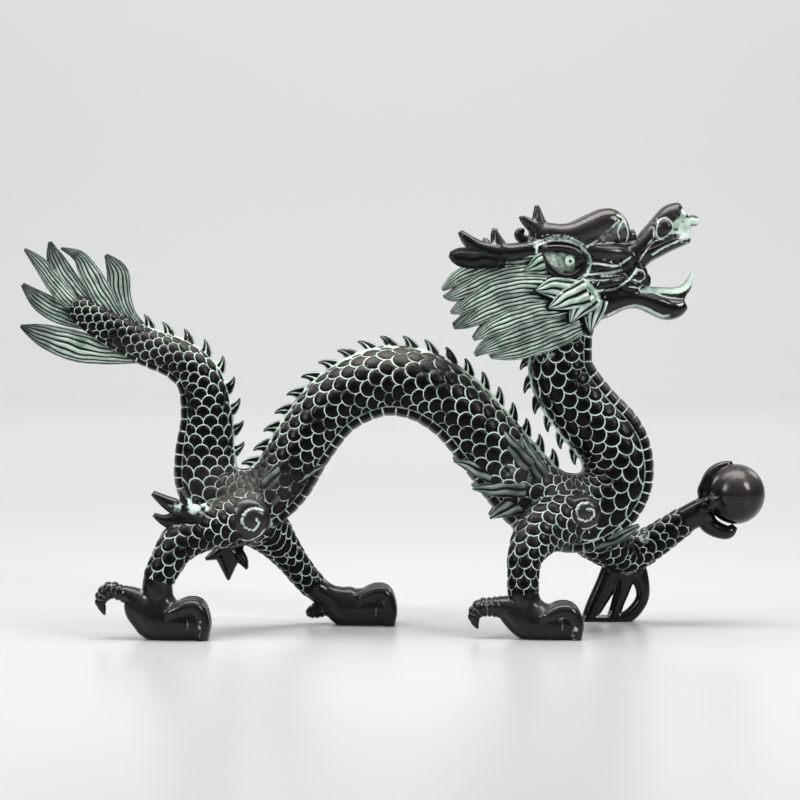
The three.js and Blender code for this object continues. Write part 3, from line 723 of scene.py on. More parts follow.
# %% Swellings on both sides of the face
BALL = 0
FACE_PAIRS = [
    # brow and the cord under it
    (26, [(64, 10, 180, 4.4), (70, 10.6, 181.6, 5), (76, 11.4, 180.8, 5.4), (83, 11.8, 181.4, 5.8),
          (91.5, 11, 184.8, 6.2), (98.4, 9.6, 187.4, 6), (103.4, 8, 185, 4.6), (106.4, 7, 179.6, 2.6)]),
    (18, [(64, 12.6, 176.6, 1.6), (70, 14.2, 178.4, 1.9), (77, 15, 178.6, 2.0), (83, 14.8, 176.9, 1.8),
          (88, 13.8, 174.6, 1.2)]),
    # eye socket and cheek
    (BALL, [(77, 12.4, 168.6), (11.6, 4.4, 8)]),
    (BALL, [(85, 12.4, 156.6), (11, 6.2, 13)]),
    # folds of the muzzle, from the top down
    (22, [(87, 12.6, 173.6, 2.4), (92, 12.8, 173.6, 3.4), (98, 12, 173.2, 3.6), (104, 10.2, 172.8, 3.2),
          (109, 8.4, 170.5, 2)]),
    (18, [(87, 13.6, 167.4, 2), (92, 13.6, 167.4, 2.7), (98, 12.8, 167, 2.6), (103, 11.2, 167, 1.9)]),
    (18, [(89, 13, 158.6, 2.2), (94, 13.2, 159.2, 2.9), (100, 12.2, 159.8, 2.8), (106, 10.2, 161, 1.9)]),
    # web between the brow and the bridge of the nose
    (18, [(97, 6.5, 181.6, 3.4), (104, 6, 180.4, 3), (111, 4.6, 181.2, 2.6)]),
    (24, [(88, 9.6, 176.8, 3.4), (94, 9.2, 179.6, 4.6), (100, 8.2, 182.2, 5), (104.6, 6.8, 180.6, 3.6)]),
    # prongs and curl behind the brow, and the root of the antler
    (BALL, [(67, 10, 181.4), (5.2, 4, 6.4)]),
    (22, [(68.4, 10, 180, 4.8), (66.6, 10, 185.6, 3.5), (65.8, 10, 190, 2.2), (65.2, 10, 195, 0.7)]),
    (20, [(71, 10.6, 180.2, 4.2), (63.6, 11.4, 184.8, 2.9), (60, 11.8, 187.6, 2), (57.6, 12, 189.6, 0.9)]),
    (16, [(68, 9, 177, 2.8), (61, 9, 178.4, 2.3), (57.2, 9, 180, 2), (56.8, 9, 182.6, 1.7),
          (59.4, 9, 183.4, 1.1)]),
    (24, [(78, 9, 176, 4), (70, 11.4, 175.4, 4.8), (62, 13.4, 174.6, 4.4)]),
    # corner of the mouth, and the wing of the nose
    (BALL, [(108, 7.6, 158.6), (6, 3.4, 4.4)]),
    (BALL, [(112, 7, 163.2), (5, 3.4, 5.6)]),
    (BALL, [(124.4, 6.2, 184.2), (5.6, 3.8, 5)]),
    # edges of the upper lip and of the nose
    (16, [(116, 7.2, 172.6, 1.7), (122, 7.6, 175.8, 1.6), (129, 6.6, 178.6, 1.6), (136, 3.6, 180, 1.6)]),
    (16, [(130, 4.4, 190.6, 2.2), (134, 4.2, 189.6, 1.9), (135.4, 3.2, 184.6, 1.7), (136.4, 3, 180.4, 1.2)]),
    (20, [(117, 4, 176, 4), (124, 4, 179.6, 4), (130, 3, 181.6, 3.2), (135, 2, 182.2, 2.4)]),
    # one upper fang and two lower ones
    (12, [(130, 3.4, 176.8, 1.2), (134, 3.4, 177.4, 1.0), (137.4, 3.2, 179.2, 0.4)]),
    (12, [(116.6, 5.4, 158, 1.6), (117.4, 5.6, 161, 1.2), (117.8, 5.6, 163.4, 0.4)]),
    (12, [(133, 3.6, 152.4, 1.6), (134.6, 3.4, 155, 1.2), (135.4, 3.2, 157.4, 0.4)]),
]
for side in (-1, 1):
    for cols, rows in FACE_PAIRS:
        if cols == BALL:
            (x, y, z), half_size = rows
            boss((x, side * y, z), half_size)
        else:
            limb(mirrored(rows, side), cols, 1.1)
print("face swellings:", len(forms) - face_start)

# %% Fuse and remesh the face
FACE_GRAIN = 0.68


def collected(objects, name):
    group = bpy.data.collections.new(name)
    bpy.context.scene.collection.children.link(group)
    for ob in objects:
        group.objects.link(ob)
    return group


def evaluated_mesh(ob):
    return bpy.data.meshes.new_from_object(ob.evaluated_get(bpy.context.evaluated_depsgraph_get()))


def union(objects, name):
    first, rest = objects[0], collected(objects[1:], name)
    bpy.context.scene.collection.objects.link(first)
    fuse = first.modifiers.new("fuse", "BOOLEAN")
    fuse.operation = "UNION"
    fuse.operand_type = "COLLECTION"
    fuse.collection = rest
    fuse.solver = "MANIFOLD"
    fuse.material_mode = "TRANSFER"
    mesh = evaluated_mesh(first)
    for ob in objects:
        bpy.data.objects.remove(ob)
    bpy.data.collections.remove(rest)
    return mesh


def numbers_of(items, field, kind, width):
    flat = np.empty(len(items) * width, kind)
    items.foreach_get(field, flat)
    return flat.reshape(-1, width) if width > 1 else flat


def coordinates(mesh):
    return numbers_of(mesh.vertices, "co", np.float32, 3).astype(float)


def vertex_normals(mesh):
    return numbers_of(mesh.vertex_normals, "vector", np.float32, 3).astype(float)


def edge_pairs(mesh):
    return numbers_of(mesh.edges, "vertices", np.int32, 2)


def move_points(mesh, points):
    mesh.vertices.foreach_set("co", points.astype(np.float32).ravel())


def neighbour_mean(values, pairs):
    total = np.zeros_like(values)
    count = np.zeros(len(values))
    for a, b in ((0, 1), (1, 0)):
        np.add.at(total, pairs[:, a], values[pairs[:, b]])
        np.add.at(count, pairs[:, a], 1)
    count = np.maximum(count, 1)
    return total / (count[:, None] if values.ndim > 1 else count)


face_mesh = union(forms[face_start:], "face_parts")
del forms[face_start:]
face = bpy.data.objects.new("face", face_mesh)
bpy.context.scene.collection.objects.link(face)
even = face.modifiers.new("even", "REMESH")
even.mode = "VOXEL"
even.voxel_size = FACE_GRAIN
even.use_smooth_shade = True
face_mesh = evaluated_mesh(face)
bpy.data.objects.remove(face)
points, pairs = coordinates(face_mesh), edge_pairs(face_mesh)
for _ in range(3):
    points = 0.5 * points + 0.5 * neighbour_mean(points, pairs)
move_points(face_mesh, points)
face_mesh.update()
print("face:", len(face_mesh.polygons), "faces")

# %% Draw the folds of the face
FACE_STROKES = [
    # brow: the feathered lash band under it and the web of facets in front
    ([(63, 176.6), (68, 178.4), (74, 179.6), (81, 178.4), (87.5, 175.4)], 2.3, 0.0, 0.5),
    ([(66, 180.4), (72, 181.4), (79, 180.6), (86, 177)], 0.35, -0.4, 0.9),
    ([(65, 177), (72, 178.6), (79, 178.4), (86, 175.4)], 0.4, -0.5, 1.0),
    ([(88, 175.8), (93, 179), (98, 183.4), (102.6, 187.6)], 0.7, 0.5, 1.0),
    ([(90, 176.4), (97, 177.6), (105.6, 177.2)], 0.55, 0.4, 1.0),
    ([(96, 178.4), (99.4, 182), (100.6, 186)], 0.5, 0.3, 0.9),
    ([(95, 179.6), (100, 183), (104, 185.4)], 3.2, 0.0, 0.42),
    ([(103.6, 179), (102.6, 183), (104.6, 187.4)], 0.6, -0.5, 0.95),
    ([(106.6, 178), (107.2, 182.4), (105.4, 187.6), (102, 190)], 0.6, 0.2, 0.9),
    # eye socket
    ([(64.4, 176), (65, 170.4), (68, 164.8), (73, 160.4), (79.6, 159), (86, 161.6), (89.4, 167),
      (89, 171.8), (85.6, 174.8)], 0.9, -0.2, 0.95),
    # folds of the muzzle
    ([(86.7, 169), (93, 168.4), (99.5, 167.4), (103.7, 167.8), (109, 171)], 0.8, -0.8, 0.95),
    ([(86.7, 163.2), (91, 163.6), (98, 163.8), (104.4, 165.2)], 0.7, -0.5, 0.95),
    ([(84, 162), (91, 161.9), (99.5, 162.6), (107, 164.2), (111.4, 168.4), (114.6, 173.8), (120, 176.8),
      (129.4, 180.8)], 0.6, -1.1, -0.9),
    ([(86, 160.6), (92, 160.8), (98, 161)], 0.45, -0.3, 0.8),
    ([(90, 155.8), (99.5, 156.4), (104.8, 158.6), (109, 162.4), (111.4, 166)], 0.85, -0.5, 0.95),
    ([(110, 161), (113, 160), (115.6, 161.6), (115, 164.6), (112, 165.4), (110.8, 163.4)], 0.6, -0.8, 0.8),
    ([(92.6, 158.8), (95, 160.4), (97.6, 159)], 0.35, -0.3, 0.7),
    ([(112.6, 168.8), (115.6, 173.6), (119.6, 178), (124, 179.2)], 0.55, 0.2, 0.8),
    # nostril and the nose front
    ([(120.4, 184.6), (121.6, 188), (124.4, 189.4), (127.6, 187.6), (129, 184.4), (127, 181), (123, 179.4),
      (120.6, 181.2), (120.4, 184.6)], 0.75, -1.0, 0.8),
    ([(116.6, 176.6), (119.4, 180.4), (119, 185)], 0.7, -0.3, 0.7),
    ([(119, 172.2), (124, 175.4), (130, 178), (136, 180)], 0.8, 0.1, 0.85),
    ([(127, 181.6), (131, 182.4), (136, 183.6)], 1.2, -0.3, 1.0),
    ([(129.6, 186), (132.4, 188.6), (134, 192)], 2.2, -0.1, 0.8),
    ([(135, 187.4), (141.4, 187.2)], 2.4, 0.0, 0.8),
    # jaw: a pale line along its upper edge and a green strip below
    ([(108, 157.6), (113, 156.8), (119, 155.4), (126, 153), (133.6, 152)], 0.55, -0.6, 0.95),
    ([(98, 144.6), (104, 147.4), (110, 149), (116, 147.8), (123, 144.4), (127, 144.6)], 1.2, 0.0, 0.75),
    # pale cheek and throat
    ([(84, 159), (88.6, 154), (91.4, 148), (91.6, 142)], 6.4, 0.0, 0.85),
    ([(72, 160.4), (80, 156), (84, 150)], 4.6, 0.0, 0.85),
    # Painted shadow: three dark cut lines across the pale cheek, between the roots of the frill leaves.
    ([(84, 158), (87.4, 154.6), (88.4, 150)], 0.5, -0.5, -0.2),
    ([(88, 157.6), (91.4, 153), (92.4, 147.4)], 0.5, -0.5, -0.2),
    ([(81, 157.4), (83, 153.6), (82.8, 150.6)], 0.45, -0.4, -0.2),
    # tongue
    ([(114, 156.6), (123, 156.2), (131, 156), (136.4, 159), (138.8, 165)], 2.3, 0.0, 0.95),
]
points = coordinates(face_mesh)
normals = vertex_normals(face_mesh)
sideways = smoothstep(0.1, 0.45, np.abs(normals[:, 1]))
rise, pale = stroke_fields(points[:, 0], points[:, 2], FACE_STROKES)
points += normals * (rise * sideways)[:, None]
move_points(face_mesh, points)
corner_vertex = numbers_of(face_mesh.loops, "vertex_index", np.int32, 1)
run_map = np.stack([points[:, 0], points[:, 2]], 1)
lie_map = np.stack([0.3 * np.ones(len(points)), pale * sideways], 1)
for name, values in (("run", run_map), ("lie", lie_map)):
    layer = face_mesh.uv_layers.get(name) or face_mesh.uv_layers.new(name=name)
    layer.data.foreach_set("uv", values[corner_vertex].astype(np.float32).ravel())
face_mesh.materials.clear()
for material in finish_materials:
    face_mesh.materials.append(material)
count = len(face_mesh.polygons)
face_mesh.polygons.foreach_set("material_index", [POLISHED] * count)
limb_id = face_mesh.attributes.get("limb") or face_mesh.attributes.new("limb", "INT", "FACE")
limb_id.data.foreach_set("value", [GROUPS.index("small")] * count)
forms.append(bpy.data.objects.new("face", face_mesh))
print("strokes on the face:", len(FACE_STROKES))

# %% [markdown]
# ## Eyes, antlers and ears
# These stay separate runs until the last fusing, because they have to keep sharp edges: the lids are
# black cords round a pale eyeball, the antlers are tapering limbs with two side branches, and the ears
# are small combed locks.

# %% Eyes
UPPER_LID = [(65.2, 14.4, 175, 0.6), (69, 16.8, 175.2, 1.3), (75, 18, 175.3, 1.5), (80.6, 18, 174.4, 1.6),
             (85, 16.8, 172.2, 1.8), (86.8, 15.6, 168.6, 1.8)]
LOWER_LID = [(65.2, 14.4, 175, 0.6), (67.4, 16.2, 170.8, 1.4), (70.6, 17.3, 166.2, 1.9),
             (75.2, 17.7, 162.8, 2.0), (80.2, 17.3, 162.2, 2.0), (84.6, 16.3, 164.6, 2.0),
             (86.8, 15.6, 168.6, 1.8)]
EYE_SHADE = [(82, 17.4, 174.2, 0.6), (83.9, 17.2, 170.6, 1.9), (82.6, 17, 166, 0.7)]
WHITE_PAINT = 0.56
IRIS_PAINT = 1.0
PUPIL_PAINT = -1.0
for side in (-1, 1):
    boss((76.2, side * 14.2, 169), (9.8, 4.8, 6.2), 44, 22, EYE, WHITE_PAINT)
    boss((79.4, side * 17, 169.4), (2.9, 2.5, 2.9), 32, 14, EYE, IRIS_PAINT)
    boss((79.9, side * 19.3, 169.4), (0.75, 0.6, 0.75), 14, 8, EYE, PUPIL_PAINT)
    for rows in (UPPER_LID, LOWER_LID, EYE_SHADE):
        limb(mirrored(rows, side), 16, 0.9)
print("eyes: 2, each with white, iris, pupil and 3 cords")

# %% Antlers and ears
ANTLER = [
    (26, [(74, 10, 174.4, 4.6), (66, 12, 174.6, 4.3), (59, 14, 173.8, 4.1), (52, 15.4, 173, 4.2),
          (45, 16.2, 173.4, 4.2), (38, 17, 175.2, 3.6), (33, 17.4, 178.6, 2.7), (29.4, 17.5, 182.6, 1.1)]),
    (20, [(48.8, 15.6, 172, 4.8), (47, 15.6, 177.4, 3), (45.8, 15.6, 181, 1.8), (45.4, 15.6, 184.2, 0.6)]),
    (16, [(43, 16, 175, 2.4), (41.6, 16.2, 177.6, 1.6), (41, 16.4, 179.6, 0.6)]),
]
EAR = [(50, 169.2, 2.6), (42, 170.2, 4.2), (34, 170.6, 4.6), (28, 171.2, 3.8), (24.6, 172, 1.2)]
for side in (-1, 1):
    for cols, rows in ANTLER:
        limb(mirrored(rows, side), cols)
    lock(EAR, side * 18.6, 4.6, strands=3, depth=0.25, paint=-0.55)
print("antlers and ears: 2 of each")

# %% [markdown]
# ## Mane and cheek frill
# The mane is a full mass of hair swept back in long waves. Seven combed locks lie on each side over a
# hidden filling, each with eight strands that run together towards its tip, and one plain lock closes
# the nape. In front of the mane a frill of short pointed leaves grows out of the cheek, each with a dark
# leaf just behind it: a painted shadow that shows as a black edge.

# %% Locks of the mane
MANE = [
    (13.6, 5.2, [(65, 171.4, 2.6), (56, 169.8, 4.2), (46, 168.8, 4.6), (35, 165.2, 4.4), (26.4, 160.4, 3),
                 (21.2, 156.2, 0.6)]),
    (14.4, 5.0, [(66, 165.4, 3.4), (56, 164.2, 4.6), (45, 162, 4.8), (34, 156.8, 4.2), (26, 153.4, 2.4),
                 (22, 153, 0.6)]),
    (15.6, 6.0, [(72, 158.6, 4), (60, 159, 5), (47, 157.2, 5.2), (36, 151.6, 4.2), (30, 148, 2.8),
                 (25.2, 145.8, 0.5)]),
    (14.6, 5.6, [(76, 152.6, 4), (62, 152.4, 5), (49, 150, 5), (38, 145, 4.2), (31, 141, 2.4),
                 (26.6, 139, 0.5)]),
    (15.8, 6.0, [(80, 148.6, 4), (66, 146.6, 5), (54, 143.2, 5), (44, 139, 4), (35.6, 133.8, 0.6)]),
    (14.6, 5.6, [(84, 144.6, 4), (71, 141, 5), (58, 136.6, 5), (47, 132.2, 3.8), (40, 129.2, 2.2),
                 (36.6, 126.6, 0.5)]),
    (13.4, 5.6, [(85, 140, 4.2), (74, 135.4, 5), (62, 131, 4.8), (52, 127.8, 3.4), (43.6, 125.6, 0.6)]),
]
MANE_FULLER = 4
NAPE_LOCK = [(60, 150, 12), (44, 148, 9), (34, 143.4, 4), (26, 140, 0.8)]
for side in (-1, 1):
    for deep, thick, rows in MANE:
        lock(rows, side * deep, thick + MANE_FULLER, strands=8, drift=-side * 3.0, step=1.9, depth=0.62)
    limb([(82, side * 7.6, 146, 7, 15.5), (66, side * 9.4, 147.4, 7.2, 18.4),
          (50, side * 9.2, 147.6, 6.4, 16.6), (39, side * 8, 148, 3.2, 10)], 24, 3, 0.8, STRANDS)
lock(NAPE_LOCK, 3, 10, strands=5, paint=-0.5)
print("locks:", 2 * len(MANE) + 1)

# %% Frill of the cheek
FRILL = [
    (16.6, [(68, 168.6, 4.6), (64.6, 167.4, 3.9), (58.8, 164.8, 0.3)]),
    (19.2, [(82, 154.6, 6.2), (72.4, 157.2, 5.0), (64, 156.2, 0.3)]),
    (19.8, [(88, 155.6, 6.2), (78.4, 152.4, 5.2), (70, 148.2, 0.3)]),
    (18.6, [(90, 154.4, 6), (84, 148.6, 4.8), (80, 141.8, 0.3)]),
    (16.2, [(92.4, 152.4, 5.4), (90.6, 145, 4.5), (89.4, 137.4, 0.3)]),
]
for side in (-1, 1):
    for out, rows in FRILL:
        lock(rows, side * out, 4.4, strands=4, step=1.3, depth=0.7, paint=0.16)
        # Painted shadow: a dark leaf set just behind each frill leaf, so that it shows as a black edge.
        shadow_leaf = [(x - 0.9, z - 0.5, h + 0.9) for x, z, h in rows]
        lock(shadow_leaf, side * (out - 1.0), 3.8, strands=2, step=1.8, depth=0.2, paint=-0.9)
print("frill leaves:", 2 * len(FRILL))

# %% [markdown]
# ## Fusing
# All forms are fused into a single closed skin, as the casting is one piece of metal. The manifold
# solver keeps the maps and the finish numbers. Where a leg grows out of the body the seam is softened
# afterwards, because wax was filled in there; hair and spikes stay crisp.

# %% Fuse all forms into one skin
forms.sort(key=lambda ob: -len(ob.data.polygons))
print("forms:", len(forms))
skin = union(forms, "casting_parts")
print("fused:", len(skin.polygons), "faces,", len(skin.vertices), "points")

# %% Soften the seams where limbs meet the body
SEAM_RINGS = 6
SEAM_SPREAD = 1.55
SEAM_ROUNDS = 14
SEAM_PULL = 0.6
NOBODY = 99


def seam_weight(mesh, pairs):
    vertex = numbers_of(mesh.loops, "vertex_index", np.int32, 1)
    per_face = numbers_of(mesh.polygons, "loop_total", np.int32, 1)
    owner = np.repeat(numbers_of(mesh.attributes["limb"].data, "value", np.int32, 1), per_face)
    low = np.full(len(mesh.vertices), NOBODY)
    high = np.zeros(len(mesh.vertices), int)
    np.minimum.at(low, vertex, owner)
    np.maximum.at(high, vertex, owner)
    weight = ((low > 0) & (high > low)).astype(float)
    keep = low > 0
    for _ in range(SEAM_RINGS):
        weight = np.maximum(weight, neighbour_mean(weight, pairs) * SEAM_SPREAD)
        weight = np.minimum(weight, 1) * keep
    return weight


pairs = edge_pairs(skin)
points = coordinates(skin)
weight = seam_weight(skin, pairs)[:, None]
for _ in range(SEAM_ROUNDS):
    points = points * (1 - SEAM_PULL * weight) + neighbour_mean(points, pairs) * SEAM_PULL * weight
move_points(skin, points)
casting = bpy.data.objects.new("dragon_casting", skin)
bpy.context.scene.collection.objects.link(casting)
print("softened points:", int((weight > 0.1).sum()))

# %% Cut the soles flat at the ground
def settled(ob):
    ob.data = evaluated_mesh(ob)
    ob.modifiers.clear()


ground_corners = [(x, y, z) for x in (-400, 400) for y in (-200, 200) for z in (-80, 0)]
ground_sides = [(0, 1, 3, 2), (4, 6, 7, 5), (0, 4, 5, 1), (2, 3, 7, 6), (0, 2, 6, 4), (1, 5, 7, 3)]
ground_mesh = bpy.data.meshes.new("ground_cut")
ground_mesh.from_pydata(ground_corners, [], ground_sides)
ground_cut = bpy.data.objects.new("ground_cut", ground_mesh)
bpy.context.scene.collection.objects.link(ground_cut)
cut = casting.modifiers.new("soles", "BOOLEAN")
cut.operation = "DIFFERENCE"
cut.object = ground_cut
cut.solver = "MANIFOLD"
settled(casting)
bpy.data.objects.remove(ground_cut)
print("after the cut:", len(casting.data.polygons), "faces")

# %% Bring the wax to its true size
skin = casting.data
points = coordinates(skin)
low, high = points.min(0), points.max(0)
cad_low, cad_high = (np.array(corner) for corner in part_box("dragon"))
print("wax size mm:", np.round(high - low, 2), "to", np.round((cad_high - cad_low) * 1000, 2))
centre = np.array([(low[0] + high[0]) / 2, (low[1] + high[1]) / 2, low[2]])
target = np.array([(cad_low[0] + cad_high[0]) / 2, (cad_low[1] + cad_high[1]) / 2, cad_low[2]])
move_points(skin, (points - centre) * (cad_high - cad_low) / (high - low) + target)
skin.update()

# %% [markdown]
# ## Fewer, better faces
# The relief needs small faces, the smooth places do not. A collapse decimation takes faces away where
# the surface is nearly flat and leaves them in the grooves, which keeps the file light for reuse.

# %% Bring the face count down
MOST_TRIANGLES = 196000
triangles = sum(len(p.vertices) - 2 for p in skin.polygons)
thin = casting.modifiers.new("thin", "DECIMATE")
thin.ratio = MOST_TRIANGLES / triangles
thin.use_collapse_triangulate = True
settled(casting)
skin = casting.data
print("triangles:", triangles, "->", sum(len(p.vertices) - 2 for p in skin.polygons))

# %% [markdown]
# ## Sweeping up
# Decimation can leave a fin of doubled faces, a small hole or a loose crumb. A casting has none of them,
# so faces on a crowded edge are taken away and the holes are filled, a few times over. Every third round
# takes away the whole neighbourhood of a fault that came back. Only the largest connected part is kept.

# %% Sweep up: no doubled faces, no open edges, no crumbs or hidden bubbles
SWEEP_ROUNDS = 12
DEEP_SWEEP_EVERY = 3


def largest_part(bm):
    unseen = set(bm.verts)
    best = set()
    while unseen:
        edge_of_search = [unseen.pop()]
        part = set(edge_of_search)
        while edge_of_search:
            for e in edge_of_search.pop().link_edges:
                for v in e.verts:
                    if v in unseen:
                        unseen.discard(v)
                        part.add(v)
                        edge_of_search.append(v)
        best = max(best, part, key=len)
    return best


sweep = bmesh.new()
sweep.from_mesh(skin)
for attempt in range(SWEEP_ROUNDS):
    faulty = [e for e in sweep.edges if len(e.link_faces) != 2]
    if not faulty:
        break
    if attempt % DEEP_SWEEP_EVERY == DEEP_SWEEP_EVERY - 1:
        cut_out = {f for e in faulty for v in e.verts for f in v.link_faces}
    else:
        cut_out = {min(e.link_faces, key=lambda f: f.calc_area()) for e in faulty if len(e.link_faces) > 2}
    bmesh.ops.delete(sweep, geom=list(cut_out), context="FACES_ONLY")
    bmesh.ops.delete(sweep, geom=[e for e in sweep.edges if not e.link_faces], context="EDGES")
    open_edges = [e for e in sweep.edges if len(e.link_faces) == 1]
    filled = bmesh.ops.holes_fill(sweep, edges=open_edges, sides=0)["faces"]
    bmesh.ops.triangulate(sweep, faces=filled)
keep = largest_part(sweep)
bmesh.ops.delete(sweep, geom=[v for v in sweep.verts if v not in keep], context="VERTS")
bmesh.ops.recalc_face_normals(sweep, faces=sweep.faces)
open_edges_left = sum(1 for e in sweep.edges if not e.is_manifold)
print("open edges left:", open_edges_left, "triangles:", len(sweep.faces))
sweep.to_mesh(skin)
sweep.free()

# %% [markdown]
# ## Where the green would stay
# When the flooded patina is wiped off, it stays in hollows. How hollow each point is can be measured
# from the mesh: a point below the mean of its neighbourhood is in a groove. Two sizes of neighbourhood
# are kept, a fine one for engraved lines and a wide one for corners between locks, lips and toes.

# %% Measure fine and wide hollows
def hollow(mesh, rounds):
    points = coordinates(mesh)
    normals = vertex_normals(mesh)
    pairs = edge_pairs(mesh)
    mean = points
    for _ in range(rounds):
        mean = 0.4 * mean + 0.6 * neighbour_mean(mean, pairs)
    depth = ((mean - points) * normals).sum(1)
    return neighbour_mean(depth, pairs) * 0.5 + depth * 0.5


def keep_on_points(name, values):
    layer = skin.attributes.new(name, "FLOAT", "POINT")
    layer.data.foreach_set("value", values.astype(np.float32))
    print(name, "spans", round(float(values.min()), 2), "to", round(float(values.max()), 2))


for name, rounds, full_depth in (("fine_hollow", 3, 0.00012), ("wide_hollow", 30, 0.0009)):
    keep_on_points(name, np.clip(hollow(skin, rounds) / full_depth, -1, 1))
skin.polygons.foreach_set("use_smooth", [True] * len(skin.polygons))

# %% Places with extra painted brown sheen, and places where pale paint was dabbed
SHEEN_PLACES = [
    ((-72, -10, 69), (21, 17, 9), 1.0), ((-72, 10, 69), (21, 17, 9), 1.0), ((4, 0, 131), (44, 14, 6), 0.6),
    ((60, -8, 75), (14, 12, 10), 0.6), ((60, 8, 75), (14, 12, 10), 0.6), ((-108, 0, 133), (22, 9, 6), 0.5),
    ((84, 10, 190), (20, 7, 6), 0.8), ((84, -10, 190), (20, 7, 6), 0.8), ((120, 0, 191), (12, 8, 8), 0.7),
    ((97, -9, 185), (13, 7, 8), 0.8), ((97, 9, 185), (13, 7, 8), 0.8), ((161, 10, 68), (13, 14, 7), 0.45),
    ((-106, -34, 18), (13, 9, 6), 0.22), ((64, -33, 14), (14, 9, 5), 0.22),
    ((-20, 20, 14), (16, 9, 6), 0.22), ((-68, -20, 54), (9, 6, 8), 0.5),
    ((86, -20, 56), (8, 6, 7), 0.5), ((66, -16, 50), (14, 12, 9), 0.3),
]
DABBED_PLACES = [
    ((-91.5, -24, 61), (6, 12, 4.5), 1.3), ((-89.2, -36, 6), (1.0, 6, 7), 0.9),
    ((81.4, -38, 4), (2, 5, 4), 0.8), ((104, -10, 46), (12, 9, 5), 0.4),
    ((52, -16, 76), (10, 9, 9), 0.35), ((134, 0, 187), (6, 8, 6), 1.3),
    ((140, 0, 187), (3, 6, 3), 1.2), ((118, 24, 42), (4, 8, 4), 0.7),
    ((-12, 30, 2), (6, 6, 3), 0.5), ((68, -8, 130), (6, 14, 4), 0.8),
    ((-100, -27, 60.6), (5, 7, 2.6), 0.95), ((94, -12, 0), (10, 30, 1), 0.7),
]
place_mm = coordinates(skin) * 1000
for name, places in (("sheen_here", SHEEN_PLACES), ("dabbed_here", DABBED_PLACES)):
    values = np.zeros(len(place_mm))
    for middle, spread, amount in places:
        away = (((place_mm - middle) / spread) ** 2).sum(1)
        values = np.maximum(values, amount * np.exp(-away))
    keep_on_points(name, values)
skin.attributes.remove(skin.attributes["limb"])

# %% Hand the casting to the frame
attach(casting, "root")
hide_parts("dragon")
print("one piece:", casting.name)

# %% [markdown]
# ## Paint effects as node groups
# Four effects make the finishes: the engraved scale lines, verdigris that lies in hollows, a painted brown
# sheen on what faces up, and fine cast grain. The lines serve the scaled skin and the other three serve
# every finish, so each is a node group with named inputs and outputs, built once and placed with other
# values.

# %% A small kit for node trees
NODES_PER_ROW = 12


class Nodes:
    def __init__(self, tree):
        self.tree = tree
        self.count = 0

    def add(self, kind, **settings):
        node = self.tree.nodes.new(kind)
        node.location = (180 * (self.count % NODES_PER_ROW), -180 * (self.count // NODES_PER_ROW))
        self.count += 1
        for key, value in settings.items():
            setattr(node, key, value)
        return node

    def feed(self, socket, value):
        if hasattr(value, "links"):
            self.tree.links.new(value, socket)
        else:
            socket.default_value = value

    def feed_all(self, node, values):
        for key, value in values.items():
            self.feed(node.inputs[key], value)

    def math(self, operation, *values, clamp=False):
        node = self.add("ShaderNodeMath", operation=operation, use_clamp=clamp)
        for socket, value in zip(node.inputs, values):
            self.feed(socket, value)
        return node.outputs[0]

    def chain(self, operation, values):
        total = values[0]
        for value in values[1:]:
            total = self.math(operation, total, value)
        return total

    def times(self, *values):
        return self.chain("MULTIPLY", values)

    def plus(self, *values):
        return self.chain("ADD", values)

    def most(self, *values):
        return self.chain("MAXIMUM", values)

    def minus(self, a, b):
        return self.math("SUBTRACT", a, b)

    def zigzag(self, value):
        return self.math("ABSOLUTE", self.minus(self.times(self.math("FRACT", value), 2.0), 1.0))

    def ramp(self, value, low, high, to_low=0.0, to_high=1.0):
        node = self.add("ShaderNodeMapRange", interpolation_type="SMOOTHSTEP")
        self.feed_all(node, {"Value": value, "From Min": low, "From Max": high, "To Min": to_low,
                             "To Max": to_high})
        return node.outputs["Result"]

    def blend(self, factor, a, b):
        node = self.add("ShaderNodeMix", data_type="RGBA")
        self.feed_all(node, {"Factor": factor, "A": a, "B": b})
        return node.outputs["Result"]

    def noise(self, vector, scale, detail=3.0, rough=0.55):
        node = self.add("ShaderNodeTexNoise")
        self.feed_all(node, {"Vector": vector, "Scale": scale, "Detail": detail, "Roughness": rough})
        return node.outputs["Fac"]

    def joined(self, x, y):
        node = self.add("ShaderNodeCombineXYZ")
        self.feed_all(node, {0: x, 1: y})
        return node.outputs[0]

    def split(self, vector):
        node = self.add("ShaderNodeSeparateXYZ")
        self.feed(node.inputs[0], vector)
        return node.outputs

    def place(self):
        return self.add("ShaderNodeTexCoord").outputs["Object"]

    def named(self, name):
        return self.add("ShaderNodeAttribute", attribute_name=name).outputs["Fac"]

    def map(self, name):
        return self.split(self.add("ShaderNodeUVMap", uv_map=name).outputs[0])


FLOAT = "NodeSocketFloat"
COLOUR = "NodeSocketColor"


def effect_group(name, inputs, outputs):
    tree = bpy.data.node_groups.new(name, "ShaderNodeTree")
    for label, default in inputs.items():
        tree.interface.new_socket(label, in_out="INPUT", socket_type=FLOAT).default_value = default
    for label, kind in outputs.items():
        tree.interface.new_socket(label, in_out="OUTPUT", socket_type=kind)
    nodes = Nodes(tree)
    return nodes, nodes.add("NodeGroupInput").outputs, nodes.add("NodeGroupOutput").inputs


def use_group(nodes, name, **values):
    node = nodes.add("ShaderNodeGroup", node_tree=bpy.data.node_groups[name])
    nodes.feed_all(node, values)
    return node.outputs


print("node kit ready")

